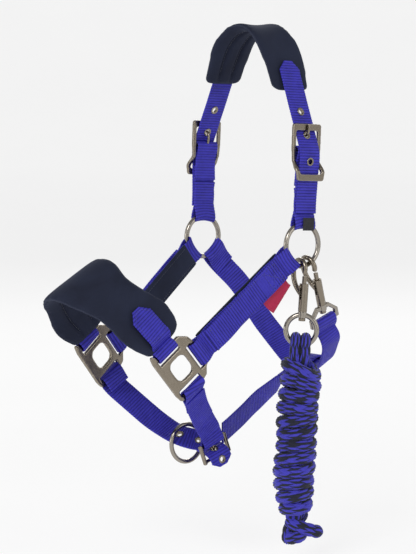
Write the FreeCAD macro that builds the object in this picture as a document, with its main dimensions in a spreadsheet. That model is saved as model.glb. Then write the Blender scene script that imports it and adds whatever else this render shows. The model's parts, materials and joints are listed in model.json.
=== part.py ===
import FreeCAD, Part
import math
import os

# Head halter with padded crown and noseband, and a coiled lead rope.
# +Z is up, +X is the horse's left (near) side, -Y is toward the nose.
# The origin is the centre of the lead ring under the chin, on the middle plane.
# Every far-side piece is the mirror image of its near-side piece.

V = FreeCAD.Vector

SIZES = [
    ("web_width", 25.0, "width of every strap"),
    ("ply", 2.0, "thickness of one layer of webbing"),
    ("gap", 0.3, "clearance between webbing and metal"),
    ("ring_back", 82.0, "cheek rings behind the chin ring"),
    ("ring_up", 196.0, "cheek rings above the chin ring"),
    ("half_head", 79.0, "cheek ring centre from the middle plane"),
    ("cheek_span", 179.0, "square centre to cheek ring centre"),
    ("cheek_pitch", 39.2, "slope of the cheek strap, degrees"),
    ("cheek_taper", 5.8, "cheek strap toes in toward the nose, degrees"),
    ("crown_tilt", 2.8, "crown leans back, degrees"),
    ("strap_lean", 24.5, "crown strap leans in above its buckle, degrees"),
    ("ring_radius", 20.5, "cheek ring, to the middle of its wire"),
    ("ring_wire", 2.5, "cheek ring wire radius"),
    ("chin_ring_radius", 18.5, "chin ring, to the middle of its wire"),
    ("chin_ring_wire", 2.25, "chin ring wire radius"),
    ("bar_height", 93.0, "cheek buckle's centre bar above the ring centre"),
    ("bar_wire", 1.5, "centre bar radius"),
    ("frame_rise", 22.0, "centre bar up to the buckle's top bar"),
    ("frame_drop", 27.0, "centre bar down to the keeper bar"),
    ("frame_width", 36.0, "outer width of the cheek buckle"),
    ("window_width", 27.5, "clear width inside the cheek buckle"),
    ("frame_bar", 6.5, "height of the buckle's top and keeper bars"),
    ("frame_thick", 3.0, "thickness of the buckle's casting"),
    ("keeper_out", 8.0, "keeper bar stands out from the frame's plane"),
    ("plate_thick", 4.0, "thickness of the square"),
    ("plate_bar", 26.0, "noseband bar of the square from its centre"),
    ("chin_bar", 22.0, "chin bar of the square from its centre"),
    ("nose_shift", 1.5, "the noseband slot lies this far to the front"),
    ("chin_shift", 2.1, "the chin slot lies this far to the front"),
    ("eyelet_hole", 2.5, "radius of the hole in an eyelet"),
    ("eyelet_pitch", 25.0, "eyelet spacing along a strap"),
    ("chin_pitch", 20.0, "eyelet spacing along the chin strap"),
    ("pad_thick", 9.0, "crown and nose pad thickness"),
    ("skin", 1.2, "thickness of a pad's cover"),
    ("barrel", 4.4, "snap barrel radius"),
    ("bolt", 2.25, "snap bolt radius"),
    ("bolt_bore", 2.3, "radius of the barrel's bore"),
    ("hook_wire", 2.5, "radius of the snap's hook"),
    ("post", 1.6, "snap swivel post radius"),
    ("post_hole", 1.66, "hole in the swivel's boss"),
    ("swivel_radius", 15.0, "lead swivel ring, to the middle of its wire"),
    ("rope", 6.5, "radius of the lead rope"),
    ("hank", 20.0, "radius of the coiled hank of rope"),
    ("hank_length", 150.0, "length of the coiled hank"),
]

doc = FreeCAD.newDocument("Halter")
sheet = doc.addObject("Spreadsheet::Sheet", "Sizes")
for row, (alias, value, meaning) in enumerate(SIZES, 1):
    sheet.set(f"A{row}", meaning)
    sheet.set(f"B{row}", str(value))
    sheet.setAlias(f"B{row}", alias)
doc.recompute()

pieces = []


def size(alias):
    return float(sheet.get(alias))


def unit(vector):
    return vector * (1.0 / vector.Length)


def frame(base, along, across):
    """A placement whose local X runs along and whose local Z is square to both directions."""
    x_axis = unit(along)
    z_axis = unit(x_axis.cross(across))
    y_axis = z_axis.cross(x_axis)
    return FreeCAD.Placement(base, FreeCAD.Rotation(x_axis, y_axis, z_axis, "XZY"))


def placed(place, x, y, z):
    return place.multVec(V(x, y, z))


# ---- the skeleton: where rings, squares and buckles sit ----

MIDDLE = V(0, size("ring_back"), size("ring_up"))
RING = MIDDLE + V(size("half_head"), 0, 0)
PITCH = math.radians(size("cheek_pitch"))
TAPER = math.radians(size("cheek_taper"))
CHEEK = V(
    math.cos(PITCH) * math.sin(TAPER), math.cos(PITCH) * math.cos(TAPER), math.sin(PITCH)
)
OUT = V(math.cos(TAPER), -math.sin(TAPER), 0)
FORWARD_UP = OUT.cross(CHEEK)
SQUARE = frame(RING - CHEEK * size("cheek_span"), CHEEK, FORWARD_UP)
TILT = FreeCAD.Rotation(V(1, 0, 0), -size("crown_tilt"))
UPPER = FreeCAD.Placement(RING, TILT)
HALF_WEB = size("web_width") / 2


# ---- makers ----


def keep(item, label):
    """Names a finished piece; its label is the name of its file."""
    item.Label = label
    pieces.append(item)
    return item


def mirrored(source, label):
    item = doc.addObject("Part::Mirroring", "Mirror_" + label)
    item.Source = source
    item.Base = V(0, 0, 0)
    item.Normal = V(1, 0, 0)
    return keep(item, label)


def bind(item, **expressions):
    """Ties the properties of an object to cells of the sheet."""
    for name, expression in expressions.items():
        item.setExpression(name, expression)
    return item


def torus(place, ring, wire):
    """A round wire ring; the local X axis of its placement is the ring's axis."""
    item = doc.addObject("Part::Torus", "Torus")
    bind(item, Radius1=ring, Radius2=wire)
    turn = FreeCAD.Rotation(V(0, 0, 1), V(1, 0, 0))
    item.Placement = place.multiply(FreeCAD.Placement(V(), turn))
    return item


def cylinder(place, radius, height):
    """A round bar centred on its placement, along the local Z axis."""
    item = doc.addObject("Part::Cylinder", "Cylinder")
    bind(item, Radius=radius, Height=height)
    doc.recompute()
    half = V(0, 0, item.Height.Value / 2)
    item.Placement = place.multiply(FreeCAD.Placement(-half, FreeCAD.Rotation()))
    return item


def box(place, corner, length, width, height):
    """A block whose low corner is given in the local axes of its placement."""
    item = doc.addObject("Part::Box", "Box")
    bind(item, Length=length, Width=width, Height=height)
    item.Placement = place.multiply(FreeCAD.Placement(corner, FreeCAD.Rotation()))
    return item


def fuse(*shapes):
    item = doc.addObject("Part::MultiFuse", "Fusion")
    item.Shapes = list(shapes)
    return item


def cut(base, tool):
    item = doc.addObject("Part::Cut", "Cut")
    item.Base = base
    item.Tool = tool
    return item


def common(*shapes):
    item = doc.addObject("Part::MultiCommon", "Common")
    item.Shapes = list(shapes)
    return item


def feature(shape, label):
    """A free-form piece, for the curved straps, pads and bent wires."""
    item = doc.addObject("Part::Feature", "Form_" + label)
    item.Shape = shape
    return keep(item, label)


def smooth(points):
    """A smooth curve through the points, and the distance at which it meets each one."""
    distances = [0.0]
    for before, after in zip(points, points[1:]):
        distances.append(distances[-1] + (after - before).Length)
    curve = Part.BSplineCurve()
    curve.interpolate(Points=points, Parameters=distances)
    return distances, curve


def blended(distances, vectors, stop):
    """The vector at one distance along a curve, between those given at its points."""
    index = 1
    while index < len(distances) - 1 and stop > distances[index]:
        index += 1
    span = distances[index] - distances[index - 1]
    part = (stop - distances[index - 1]) / span
    return vectors[index - 1] * (1 - part) + vectors[index] * part


def station(points, across, part):
    """Centre, half-width vector and face direction of a strap, at a part of its length."""
    distances, curve = smooth(points)
    stop = distances[-1] * part
    tangent = unit(curve.tangent(stop)[0])
    half = blended(distances, across, stop)
    reach = half.Length
    half = unit(half - tangent * half.dot(tangent)) * reach
    return curve.value(stop), half, unit(tangent.cross(half))


def ribbon(points, across, thickness, steps=12, first=0.0, last=1.0):
    """A strap through the points; each across vector is half its width there."""
    sections = []
    for step in range(steps + 1):
        part = first + (last - first) * step / steps
        centre, half, face = station(points, across, part)
        face = face * (thickness / 2)
        corners = [half + face, half - face, -half - face, -half + face]
        corners = [centre + corner for corner in corners]
        sections.append(Part.makePolygon(corners + corners[:1]))
    return Part.makeLoft(sections, True, False)


def rod(points, radius):
    """A round wire bent along a smooth curve through the points."""
    curve = Part.BSplineCurve()
    curve.interpolate(Points=points)
    start = curve.tangent(curve.FirstParameter)[0]
    outline = Part.Wire(Part.makeCircle(radius, points[0], start))
    return Part.Wire(curve.toShape()).makePipeShell([outline], True, False)


def bar_hole(centre, axis, radius, length):
    """A round bar centred on a point."""
    return Part.makeCylinder(radius, length, centre - unit(axis) * (length / 2), axis)


def on_bar(strap, centre, axis, bar_radius):
    """Folds the end of a curved strap round a straight bar."""
    hole = bar_radius + size("gap")
    eye = bar_hole(centre, axis, hole + size("ply"), size("web_width"))
    bar = bar_hole(centre, axis, hole, size("web_width") + 8)
    return strap.fuse(eye).cut(bar)


def ring_fold(centre, toward, radius, wire):
    """The webbing wrapped round part of a ring, and the space the ring's wire needs."""
    outer = Part.makeTorus(radius, wire + size("gap") + size("ply"), centre, V(1, 0, 0))
    inner = Part.makeTorus(radius, wire + size("gap"), centre, V(1, 0, 0))
    place = frame(centre, toward, V(1, 0, 0))
    slab = Part.makeBox(radius * 2, 40, size("web_width"), V(0, -20, -HALF_WEB))
    slab.Placement = place
    return outer.common(slab), inner


def ring_divider(centre, side):
    """A block that keeps two folds on one ring apart, below the ring; side is 1 or -1."""
    split = -4.5 + 0.15 * side
    low = split if side > 0 else split - 40
    return Part.makeBox(40, 40, 36, centre + V(-20, low, -38))


def on_ring(strap, centre, toward, radius, wire):
    """Folds the end of a curved strap round a ring whose axis is X."""
    wrap, space = ring_fold(centre, toward, radius, wire)
    return strap.fuse(wrap).cut(space)


# ---- rings and squares ----


def cheek_rings():
    near = keep(torus(FreeCAD.Placement(RING, FreeCAD.Rotation()), "Sizes.ring_radius",
                      "Sizes.ring_wire"), "near_cheek_ring")
    mirrored(near, "far_cheek_ring")


def chin_ring():
    keep(torus(FreeCAD.Placement(), "Sizes.chin_ring_radius", "Sizes.chin_ring_wire"),
         "chin_ring")


def plane_of(body, role):
    return next(item for item in body.Origin.OriginFeatures if item.Role == role)


def outline_sketch(body, name, role, loops):
    """A sketch of closed straight-sided loops on one of the body's own planes."""
    sketch = body.newObject("Sketcher::SketchObject", name)
    sketch.AttachmentSupport = (plane_of(body, role), [""])
    sketch.MapMode = "FlatFace"
    for loop in loops:
        for start, end in zip(loop, loop[1:] + loop[:1]):
            sketch.addGeometry(Part.LineSegment(V(*start, 0), V(*end, 0)), False)
    return sketch


def rounded(loop, radius, steps=3):
    """Rounds each corner of a loop with a short run of chords on an arc."""
    points = []
    for index, corner in enumerate(loop):
        here = V(*corner, 0)
        back = unit(V(*loop[index - 1], 0) - here)
        ahead = unit(V(*loop[(index + 1) % len(loop)], 0) - here)
        turn = back.getAngle(ahead)
        reach = radius / math.tan(turn / 2)
        centre = here + unit(back + ahead) * (radius / math.sin(turn / 2))
        start = here + back * reach - centre
        end = here + ahead * reach - centre
        for step in range(steps + 1):
            part = step / steps
            point = centre + unit(start * (1 - part) + end * part) * radius
            points.append((point.x, point.y))
    return points


def rectangle(x_low, y_low, x_high, y_high):
    return [(x_low, y_low), (x_high, y_low), (x_high, y_high), (x_low, y_high)]


def slot_beside(bar):
    """The near and far edge of the slot inside a bar, measured from the plate's centre."""
    return bar - 7.65, bar - 2.25


def square_outlines():
    """The cast plate's outline, its hand-sized opening and its three strap slots."""
    nose_bar_at = size("plate_bar")
    chin_bar_at = size("chin_bar")
    edge = nose_bar_at + 2.3
    foot = chin_bar_at + 2.3
    outline = [(-20.5, 24), (-20.5, -16), (-18.8, -foot), (9, -foot), (18, -22), (23, -15.5),
               (27, -14), (27, 13), (25, 21), (17, edge), (-14.6, edge), (-15.2, edge + 4),
               (-18.8, edge + 3.5)]
    reach = 13.5
    nose = -size("nose_shift")
    chin = -size("chin_shift")
    nose_slot = slot_beside(nose_bar_at)
    chin_slot = slot_beside(chin_bar_at)
    cheek_slot = slot_beside(nose_bar_at - 1.5)
    slots = [
        rectangle(nose - reach, nose_slot[0], nose + reach, nose_slot[1]),
        rectangle(chin - reach, -chin_slot[1], chin + reach, -chin_slot[0]),
        rectangle(cheek_slot[0], -reach, cheek_slot[1], reach),
    ]
    opening = rounded(rectangle(-9.5, -9, 11.5, 13), 6.5)
    return [rounded(outline, 2.5)] + [opening] + slots


def squares():
    """The flat cast squares that join cheek strap, noseband and chin strap."""
    body = doc.addObject("PartDesign::Body", "SquareBody")
    sketch = outline_sketch(body, "SquareOutline", "XY_Plane", square_outlines())
    pad = body.newObject("PartDesign::Pad", "SquarePad")
    pad.Profile = sketch
    bind(pad, Length="Sizes.plate_thick")
    pad.Midplane = True
    body.Placement = SQUARE
    near = keep(body, "near_square")
    mirrored(near, "far_square")


# ---- cheek buckles ----


def buckle_frame():
    """Plan outline and side profile, extruded square to each other and intersected."""
    plan = doc.addObject("PartDesign::Body", "FramePlan")
    top = size("frame_rise") + size("frame_bar") / 2
    low = -size("frame_drop") - size("frame_bar") / 2
    half = size("frame_width") / 2
    inner = size("window_width") / 2
    window = rectangle(-inner, low + size("frame_bar"), inner, top - size("frame_bar"))
    outer = [(-half + 2, low), (half - 2, low), (half, low + 12), (half - 1.6, low + 18),
             (half - 0.4, 2), (half - 0.4, top), (-half + 0.4, top), (-half + 0.4, 2),
             (-half + 1.6, low + 18), (-half, low + 12)]
    sketch = outline_sketch(plan, "PlanOutline", "YZ_Plane",
                            [rounded(outer, 2.5), rounded(window, 2)])
    pad = plan.newObject("PartDesign::Pad", "PlanPad")
    pad.Profile = sketch
    pad.Length = 40
    pad.Midplane = True
    profile = doc.addObject("PartDesign::Body", "FrameProfile")
    thick = size("frame_thick") / 2
    out = size("keeper_out")
    outline = [(-thick, top), (-thick, -11.5), (out - thick, low + 8), (out - thick, low),
               (out + thick, low), (out + thick, low + 9), (thick, -10), (thick, top)]
    side = outline_sketch(profile, "SideOutline", "XZ_Plane", [outline])
    run = profile.newObject("PartDesign::Pad", "SidePad")
    run.Profile = side
    run.Length = 60
    run.Midplane = True
    shape = common(plan, profile)
    bar = cylinder(frame(V(), V(1, 0, 0), V(0, 0, -1)), "Sizes.bar_wire",
                   "Sizes.window_width + 4")
    return fuse(shape, bar)


def at_bar():
    """The placement of the cheek buckle: its origin is the middle of the centre bar."""
    return UPPER.multiply(FreeCAD.Placement(V(0, 0, size("bar_height")), FreeCAD.Rotation()))


def buckle_tongue():
    """A bent wire: eye on the centre bar, through the eyelet, tip over the top bar."""
    rise = size("frame_rise")
    path = [V(-2.7, 0, 2), V(-3.6, 0, 7), V(-3.2, 0, 11), V(-0.7, 0, 13.9),
            V(2.2, 0, 16.2), V(3.25, 0, 19), V(3.1, 0, rise + 3)]
    wire = rod(path, 1.3)
    hole = size("bar_wire") + 0.08
    eye = bar_hole(V(), V(0, 1, 0), hole + 1.2, 3.6)
    bore = bar_hole(V(), V(0, 1, 0), hole, 12)
    shape = wire.fuse(eye).cut(bore)
    shape.Placement = at_bar()
    return shape


def cheek_buckles():
    item = buckle_frame()
    item.Placement = at_bar()
    near = keep(item, "near_buckle_frame")
    mirrored(near, "far_buckle_frame")
    near = feature(buckle_tongue(), "near_buckle_tongue")
    mirrored(near, "far_buckle_tongue")


# ---- straps of the crown ----


def billets():
    """Doubled webbing from the cheek ring up to the buckle's centre bar."""
    ply = size("ply")
    low = size("ring_radius")
    straight = Part.makeBox(2 * ply, 2 * HALF_WEB, size("bar_height") - low,
                            V(-ply, -HALF_WEB, low))
    eye_centre = V(0, 0, size("bar_height"))
    hole = size("bar_wire") + size("gap")
    eye = bar_hole(eye_centre, V(0, 1, 0), hole + ply, 2 * HALF_WEB)
    bar = bar_hole(eye_centre, V(0, 1, 0), hole, 40)
    slot = Part.makeBox(20, 6, 14, V(-10, -3, size("bar_height") - 7))
    wrap, space = ring_fold(V(), V(0, 0, 1), low, size("ring_wire"))
    shape = straight.fuse([eye, wrap]).cut([bar, slot, space]).removeSplitter()
    shape.Placement = UPPER
    near = feature(shape, "near_billet")
    mirrored(near, "far_billet")


def crown_line(along):
    """A point of the crown strap's straight run, measured from the centre bar's level."""
    lean = math.radians(size("strap_lean"))
    start = V(5.65, 0, size("bar_height"))
    return start + V(-math.sin(lean), 0, math.cos(lean)) * along


def crown_strap_path():
    """Tail end, behind the keeper bar, over the centre bar, behind the top bar, to the pad."""
    low = [V(3.7, 0, 31), V(3.9, 0, 48), V(5.0, 0, 66), V(5.9, 0, 78), V(6.3, 0, 87)]
    run = [crown_line(6), crown_line(20), crown_line(44), crown_line(67)]
    on_pad = [V(-28.6, 0, 169), V(-33.2, 0, 179.5)]
    return low + run + on_pad


def eyelet(centre, facing, slack=0.0):
    """A flanged tube set in the webbing, or with slack, the space that one needs."""
    face = size("ply") / 2 + 0.05 - slack
    hole = size("eyelet_hole")
    tube = bar_hole(centre, facing, hole + 0.7 + slack, 2 * face + 1)
    flange = hole + 1.6 + slack
    front = Part.makeCylinder(flange, 0.5 + 4 * slack, centre + facing * face, facing)
    rear = Part.makeCylinder(flange, 0.5 + 4 * slack, centre - facing * face, -facing)
    return tube.fuse([front, rear])


def punched(strap, places):
    """Cuts the spaces that the eyelets sit in."""
    return strap.cut([eyelet(centre, facing, 0.1) for centre, facing in places])


def eyelet_set(places):
    holes = [bar_hole(centre, facing, size("eyelet_hole"), 12) for centre, facing in places]
    rings = [eyelet(*place).cut(hole) for place, hole in zip(places, holes)]
    return Part.makeCompound(rings)


def part_at(points, distance):
    """The part of a strap's length that lies at a distance from its start."""
    return distance / smooth(points)[0][-1]


def crown_straps():
    path = crown_strap_path()
    across = [V(0, HALF_WEB, 0)] * len(path)
    strap = ribbon(path, across, size("ply"), 30)
    lean = math.radians(size("strap_lean"))
    sloped = V(math.cos(lean), 0, math.sin(lean))
    below = station(path, across, part_at(path, 50.7))
    pitch = size("eyelet_pitch")
    places = [(below[0], below[2]), (crown_line(15.2), sloped), (crown_line(15.2 + pitch), sloped)]
    for label, shape in (("crown_strap", punched(strap, places)),
                         ("crown_eyelets", eyelet_set(places))):
        shape.Placement = UPPER
        near = feature(shape, "near_" + label)
        mirrored(near, "far_" + label)


def padded(points, across, thickness, label, steps):
    """A pad as a closed cover with a soft core inside it."""
    skin = size("skin")
    outer = ribbon(points, across, thickness, steps)
    shrink = [unit(half) * (half.Length - skin) for half in across]
    first = points[0] + unit(points[1] - points[0]) * skin
    last = points[-1] + unit(points[-2] - points[-1]) * skin
    inside = [first] + points[1:-1] + [last]
    hollow = ribbon(inside, shrink, thickness - 2 * skin, steps)
    feature(outer.cut(hollow), label + "_cover")
    slim = [unit(half) * (half.Length - skin - 0.3) for half in across]
    first = first + unit(points[1] - points[0]) * 0.3
    last = last + unit(points[-2] - points[-1]) * 0.3
    core = ribbon([first] + points[1:-1] + [last], slim, thickness - 2 * skin - 0.6, steps)
    feature(core, label + "_foam")


def both_sides(half):
    """A row of near-side points carried over the middle to the far side."""
    return half[:-1] + [half[-1]] + [V(-p.x, p.y, p.z) for p in reversed(half[:-1])]


def crown_pad():
    """The poll pad, an arch over the head; its far half hangs a little further forward."""
    half = [V(51.2, 8.5, 150), V(42.6, 9, 171), V(32.5, 8, 190), V(18, 7, 205), V(0, 6, 211)]
    widths = [21.5, 23.5, 25, 24.5, 23.5]
    points = both_sides([MIDDLE + point for point in half])
    for index, part in enumerate((0.5, 0.8, 1.0, 1.0), 5):
        points[index] = points[index] + V(0, -7, 0) * part
    points[-1] = points[-1] + V(1.7, 0, 5.5)
    across = both_sides([V(0, width, 0) for width in widths])
    padded(points, across, size("pad_thick"), "crown_pad", 16)


# ---- cheek, nose and chin straps ----


def cheek_straps():
    """Doubled webbing from the square up to the cheek ring, lined on the horse's side."""
    ply = size("ply")
    start = size("plate_bar") - 1.5
    end = size("cheek_span") - size("ring_radius")
    straight = box(SQUARE, V(start, -HALF_WEB, -ply), "Sizes.cheek_span - Sizes.ring_radius"
                   " - Sizes.plate_bar + 1.5", "Sizes.web_width", "2 * Sizes.ply")
    across = frame(placed(SQUARE, start, 0, 0), OUT, CHEEK)
    eye = cylinder(across, "3.1 + Sizes.gap + Sizes.ply", "Sizes.web_width")
    bar = cylinder(across, "3.1 + Sizes.gap", "Sizes.web_width + 8")
    fold = doc.addObject("Part::Feature", "CheekFold")
    fold.Shape = ring_fold(RING, -CHEEK, size("ring_radius"), size("ring_wire"))[0]
    divider = doc.addObject("Part::Feature", "RingDivider")
    divider.Shape = ring_divider(RING, 1)
    tunnel = torus(FreeCAD.Placement(RING, FreeCAD.Rotation()), "Sizes.ring_radius",
                   "Sizes.ring_wire + Sizes.gap")
    near = keep(cut(cut(cut(fuse(straight, eye, fold), bar), tunnel), divider),
                "near_cheek_strap")
    mirrored(near, "far_cheek_strap")
    liner = box(SQUARE, V(start + 10, -HALF_WEB - 1, -ply - 1.7),
                "Sizes.cheek_span - Sizes.ring_radius - Sizes.plate_bar - 19",
                "Sizes.web_width + 2", "1.5")
    near = keep(liner, "near_cheek_liner")
    mirrored(near, "far_cheek_liner")
    tab = box(SQUARE, V(109, -HALF_WEB - 12, -0.5), "34", "11.5", "1")
    keep(tab, "side_tab")


def nose_bar():
    return placed(SQUARE, -size("nose_shift"), size("plate_bar"), 0)


def nose_pad_line():
    """Centre line and half widths of the noseband pad, widest over the nose bone."""
    half = [V(59.5, -160, -85.5), V(54, -177, -65), V(40, -193, -44), V(20, -206, -32),
            V(0, -211, -27.5)]
    widths = [20, 31, 27, 35, 39]
    points = both_sides([MIDDLE + point for point in half])
    across = both_sides([V(0, 0.865, 0.502) * width for width in widths])
    return points, across


def nose_pad():
    points, across = nose_pad_line()
    padded(points, across, size("pad_thick"), "nose_pad", 16)


def nose_straps():
    """From the square's upper bar up over the outside of the nose pad."""
    start = nose_bar()
    points, across = nose_pad_line()
    lift = size("pad_thick") / 2 + size("ply") / 2 + 1.6
    path = [start]
    for part in (0.025, 0.06, 0.11, 0.165):
        centre, half, face = station(points, across, part)
        outward = face if face.x > 0 else -face
        path.append(centre + outward * lift)
    flat = unit(across[0]) * HALF_WEB
    turning = unit(CHEEK + flat) * HALF_WEB
    strap = ribbon(path, [CHEEK * HALF_WEB, turning] + [flat] * 3, size("ply"), 12)
    near = feature(on_bar(strap, start, CHEEK, 3.1), "near_nose_strap")
    mirrored(near, "far_nose_strap")


def chin_bar():
    return placed(SQUARE, -size("chin_shift"), -size("chin_bar"), 0)


CHIN_ACROSS = V(0, 0.934, 0.357)
CHIN_BUCKLE = FreeCAD.Placement(
    MIDDLE + V(30, -73, -192.5),
    FreeCAD.Rotation(V(1, 0, 0), CHIN_ACROSS, V(0, -0.357, 0.934), "XZY"),
)


def chin_billet():
    """From the near square down to the chin buckle's upper bar."""
    top = chin_bar()
    low = CHIN_BUCKLE.Base
    path = [top, top + V(-7, 8, -13), low + V(12, -21, 25), low]
    width = [CHEEK * HALF_WEB, CHEEK * HALF_WEB, V(-0.05, 0.85, 0.5) * HALF_WEB,
             CHIN_ACROSS * HALF_WEB]
    strap = ribbon(path, width, 2 * size("ply"), 12)
    strap = on_bar(strap, top, CHEEK, 3.1)
    strap = on_bar(strap, low, CHIN_ACROSS, size("bar_wire"))
    slot = Part.makeBox(16, 6, 16, V(-8, -3, -8))
    slot.Placement = CHIN_BUCKLE
    feature(strap.cut(slot), "near_chin_billet")


def chin_strap():
    """From the far square, through the lead ring and the buckle, to its free end."""
    bar = chin_bar()
    start = V(-bar.x, bar.y, bar.z)
    path = [start, MIDDLE + V(-57, -115, -151), MIDDLE + V(-38, -101, -170),
            MIDDLE + V(-19, -91.5, -183), MIDDLE + V(0, -85.6, -189.4)]
    local = [V(-16, -1, -2.3), V(-6, -0.5, -6.2), V(0, 0, -8.6), V(4.6, 0, -12.2),
             V(6.2, 0, -18), V(6.0, 0, -24.5)]
    path += [CHIN_BUCKLE.multVec(point) for point in local]
    cheek = V(-CHEEK.x, CHEEK.y, CHEEK.z) * HALF_WEB
    middle = V(0, 0.88, 0.475) * HALF_WEB
    last = CHIN_ACROSS * HALF_WEB
    across = [cheek, cheek, cheek, middle, middle] + [last] * len(local)
    strap = ribbon(path, across, size("ply"), 30)
    strap = on_bar(strap, start, V(-CHEEK.x, CHEEK.y, CHEEK.z), 3.1)
    distances = smooth(path)[0]
    crossing = distances[-4] - 1.3
    places = []
    for step in (-2, -1, 0, 0.65):
        part = (crossing + step * size("chin_pitch")) / distances[-1]
        centre, half, face = station(path, across, part)
        places.append((centre, face))
    feature(punched(strap, places), "far_chin_strap")
    feature(eyelet_set(places), "chin_eyelets")


def chin_buckle():
    """A small open frame: round upper bar for the billet, lower bar for the tongue."""
    wide = size("window_width") / 2
    wire = 1.75
    drop = 15
    upper = bar_hole(V(), V(0, 1, 0), size("bar_wire"), 2 * wide + 5)
    lower = bar_hole(V(0, 0, -drop), V(0, 1, 0), wire, 2 * wide + 5)
    rails = []
    for side in (-1, 1):
        rail = Part.makeBox(2 * wire, 3.2, drop + 5, V(-wire, side * (wide + 1.8) - 1.6, -drop - 2.4))
        rails.append(rail)
    frame_shape = upper.fuse([lower] + rails).removeSplitter()
    frame_shape.Placement = CHIN_BUCKLE
    feature(frame_shape, "chin_buckle_frame")
    tongue = rod([V(-1.2, 0, -2.2), V(-1.5, 0, -7.5), V(-2.4, 0, -11.5), V(-3.15, 0, -16.8)], 1.2)
    hole = size("bar_wire") + 0.08
    eye = bar_hole(V(), V(0, 1, 0), hole + 1.2, 3.4)
    tongue = tongue.fuse(eye).cut(bar_hole(V(), V(0, 1, 0), hole, 12))
    tongue.Placement = CHIN_BUCKLE
    feature(tongue, "chin_buckle_tongue")


def throat_line():
    """Centre line and half widths of the strap from the far cheek ring to the snap's eye."""
    start = MIDDLE - V(size("half_head"), 0, 0) + THROAT_LEAVES * size("ring_radius")
    end = THROAT.multVec(V(BARREL_AT, 0, -EYE_DROP))
    path = [start, MIDDLE + V(-70, 40, -49), MIDDLE + V(-57, 60, -86), MIDDLE + V(-38, 71, -112),
            MIDDLE + V(-14, 71, -127), MIDDLE + V(15, 67, -131), MIDDLE + V(42, 60, -124),
            MIDDLE + V(61, 51, -109), end + V(-1, 6, -15), end]
    flat = V(0, 0.87, 0.49) * HALF_WEB
    last = THROAT.Rotation.multVec(V(0, 1, 0)) * HALF_WEB
    return path, [V(0, 0.76, 0.65) * HALF_WEB] + [flat] * 7 + [last, last]


def throat_strap():
    far_ring = MIDDLE - V(size("half_head"), 0, 0)
    path, across = throat_line()
    strap = ribbon(path, across, size("ply"), 30)
    strap = on_ring(strap, far_ring, THROAT_LEAVES, size("ring_radius"), size("ring_wire"))
    strap = on_bar(strap, path[-1], across[-1], 2.6)
    feature(strap.cut(ring_divider(far_ring, -1)), "throat_strap")


def jowl_strap():
    """Joins the chin strap to a fold round the lowest part of the throat strap."""
    path = [MIDDLE + V(21, -54, -187), MIDDLE + V(13, -27, -176), MIDDLE + V(4, 6, -160),
            MIDDLE + V(0, 33, -147), MIDDLE + V(0, 55, -137.5)]
    across = [V(0.35, -0.33, 0.88), V(0.3, -0.4, 0.87), V(0.35, -0.42, 0.82), V(0.8, -0.3, 0.5),
              V(1, 0, 0)]
    strap = ribbon(path, [unit(half) * HALF_WEB for half in across], size("ply"), 14)
    throat, halves = throat_line()
    outer = ribbon(throat, [half * 1.26 for half in halves], 7.2, 6, 0.49, 0.58)
    inner = ribbon(throat, [half * 1.06 for half in halves], 3.0, 8, 0.47, 0.60)
    feature(strap.fuse(outer).cut(inner), "jowl_strap")


def size_label():
    place = FreeCAD.Placement(RING, TILT)
    keep(box(place, V(5.6, -5, 14.5), "0.8", "14", "12.5"), "size_label")


# ---- snaps ----


def snap_place(turn, lean):
    """Local Z up the snap, local Y along the ring's wire, origin at the wire's middle."""
    angle = math.radians(turn)
    wire_middle = RING + V(0, math.sin(angle), -math.cos(angle)) * size("ring_radius")
    up = unit(lean)
    side = unit(V(1, 0, 0) - up * up.x)
    return FreeCAD.Placement(wire_middle, FreeCAD.Rotation(side, up.cross(side), up, "ZXY"))


LEAD = snap_place(-4, V(0.0395, 0.0488, 1))
THROAT = snap_place(27, V(0.16, -0.36, 0.92))
BARREL_AT = 6.5
BARREL_TOP = -16.5
BARREL_LOW = -44.0
EYE_DROP = 61.8
THROAT_LEAVES = V(0, 0.67, -0.743)


def snap_body():
    """Cast hook, barrel with a blind bore and thumb slot, and the peened swivel post."""
    centre_x = -2.0
    centre_z = -2.69
    radius = BARREL_AT - centre_x
    arc = [V(centre_x + radius * math.cos(math.radians(a)), 0,
             centre_z + radius * math.sin(math.radians(a))) for a in range(-25, 181, 41)]
    arm = [V(-10.2, 0, -10), V(-7.2, 0, -18), V(-1.0, 0, -24.5), V(4.5, 0, -29)]
    hook = rod(arc + arm, size("hook_wire"))
    up = V(0, 0, 1)
    barrel = Part.makeCylinder(size("barrel"), BARREL_TOP - BARREL_LOW, V(BARREL_AT, 0, BARREL_LOW), up)
    post = Part.makeCylinder(size("post"), 9, V(BARREL_AT, 0, BARREL_LOW - 8), up)
    head = Part.makeCylinder(3.4, 3, V(BARREL_AT, 0, BARREL_LOW - 9.2), up)
    bore = Part.makeCylinder(size("bolt_bore"), 24, V(BARREL_AT, 0, BARREL_TOP - 23), up)
    slot = Part.makeBox(3.0, 12, 13.4, V(BARREL_AT - 1.5, -12, BARREL_TOP - 15))
    mouth = Part.makeCylinder(size("bolt_bore") + 0.15, 7.6, V(BARREL_AT, 0, -16.5), up)
    return barrel.fuse([post, head, hook]).cut([bore, slot, mouth])


def snap_bolt():
    """The sliding bolt that closes the hook, with its thumb stud."""
    up = V(0, 0, 1)
    pin = Part.makeCylinder(size("bolt"), 13.4, V(BARREL_AT, 0, -22.6), up)
    stud = Part.makeCylinder(1.35, 6.6, V(BARREL_AT, 0, -19.6), V(0, -1, 0))
    return pin.fuse(stud)


def snap_spring():
    """A coil that holds the bolt shut."""
    coil = Part.makeHelix(2.3, 15.6, 1.75)
    coil.Placement = FreeCAD.Placement(V(BARREL_AT, 0, -38.8), FreeCAD.Rotation())
    wire = Part.Wire(coil.Edges)
    start = wire.Vertexes[0].Point
    outline = Part.Wire(Part.makeCircle(0.3, start, V(0, 1, 0.2)))
    return wire.makePipeShell([outline], True, True)


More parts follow.
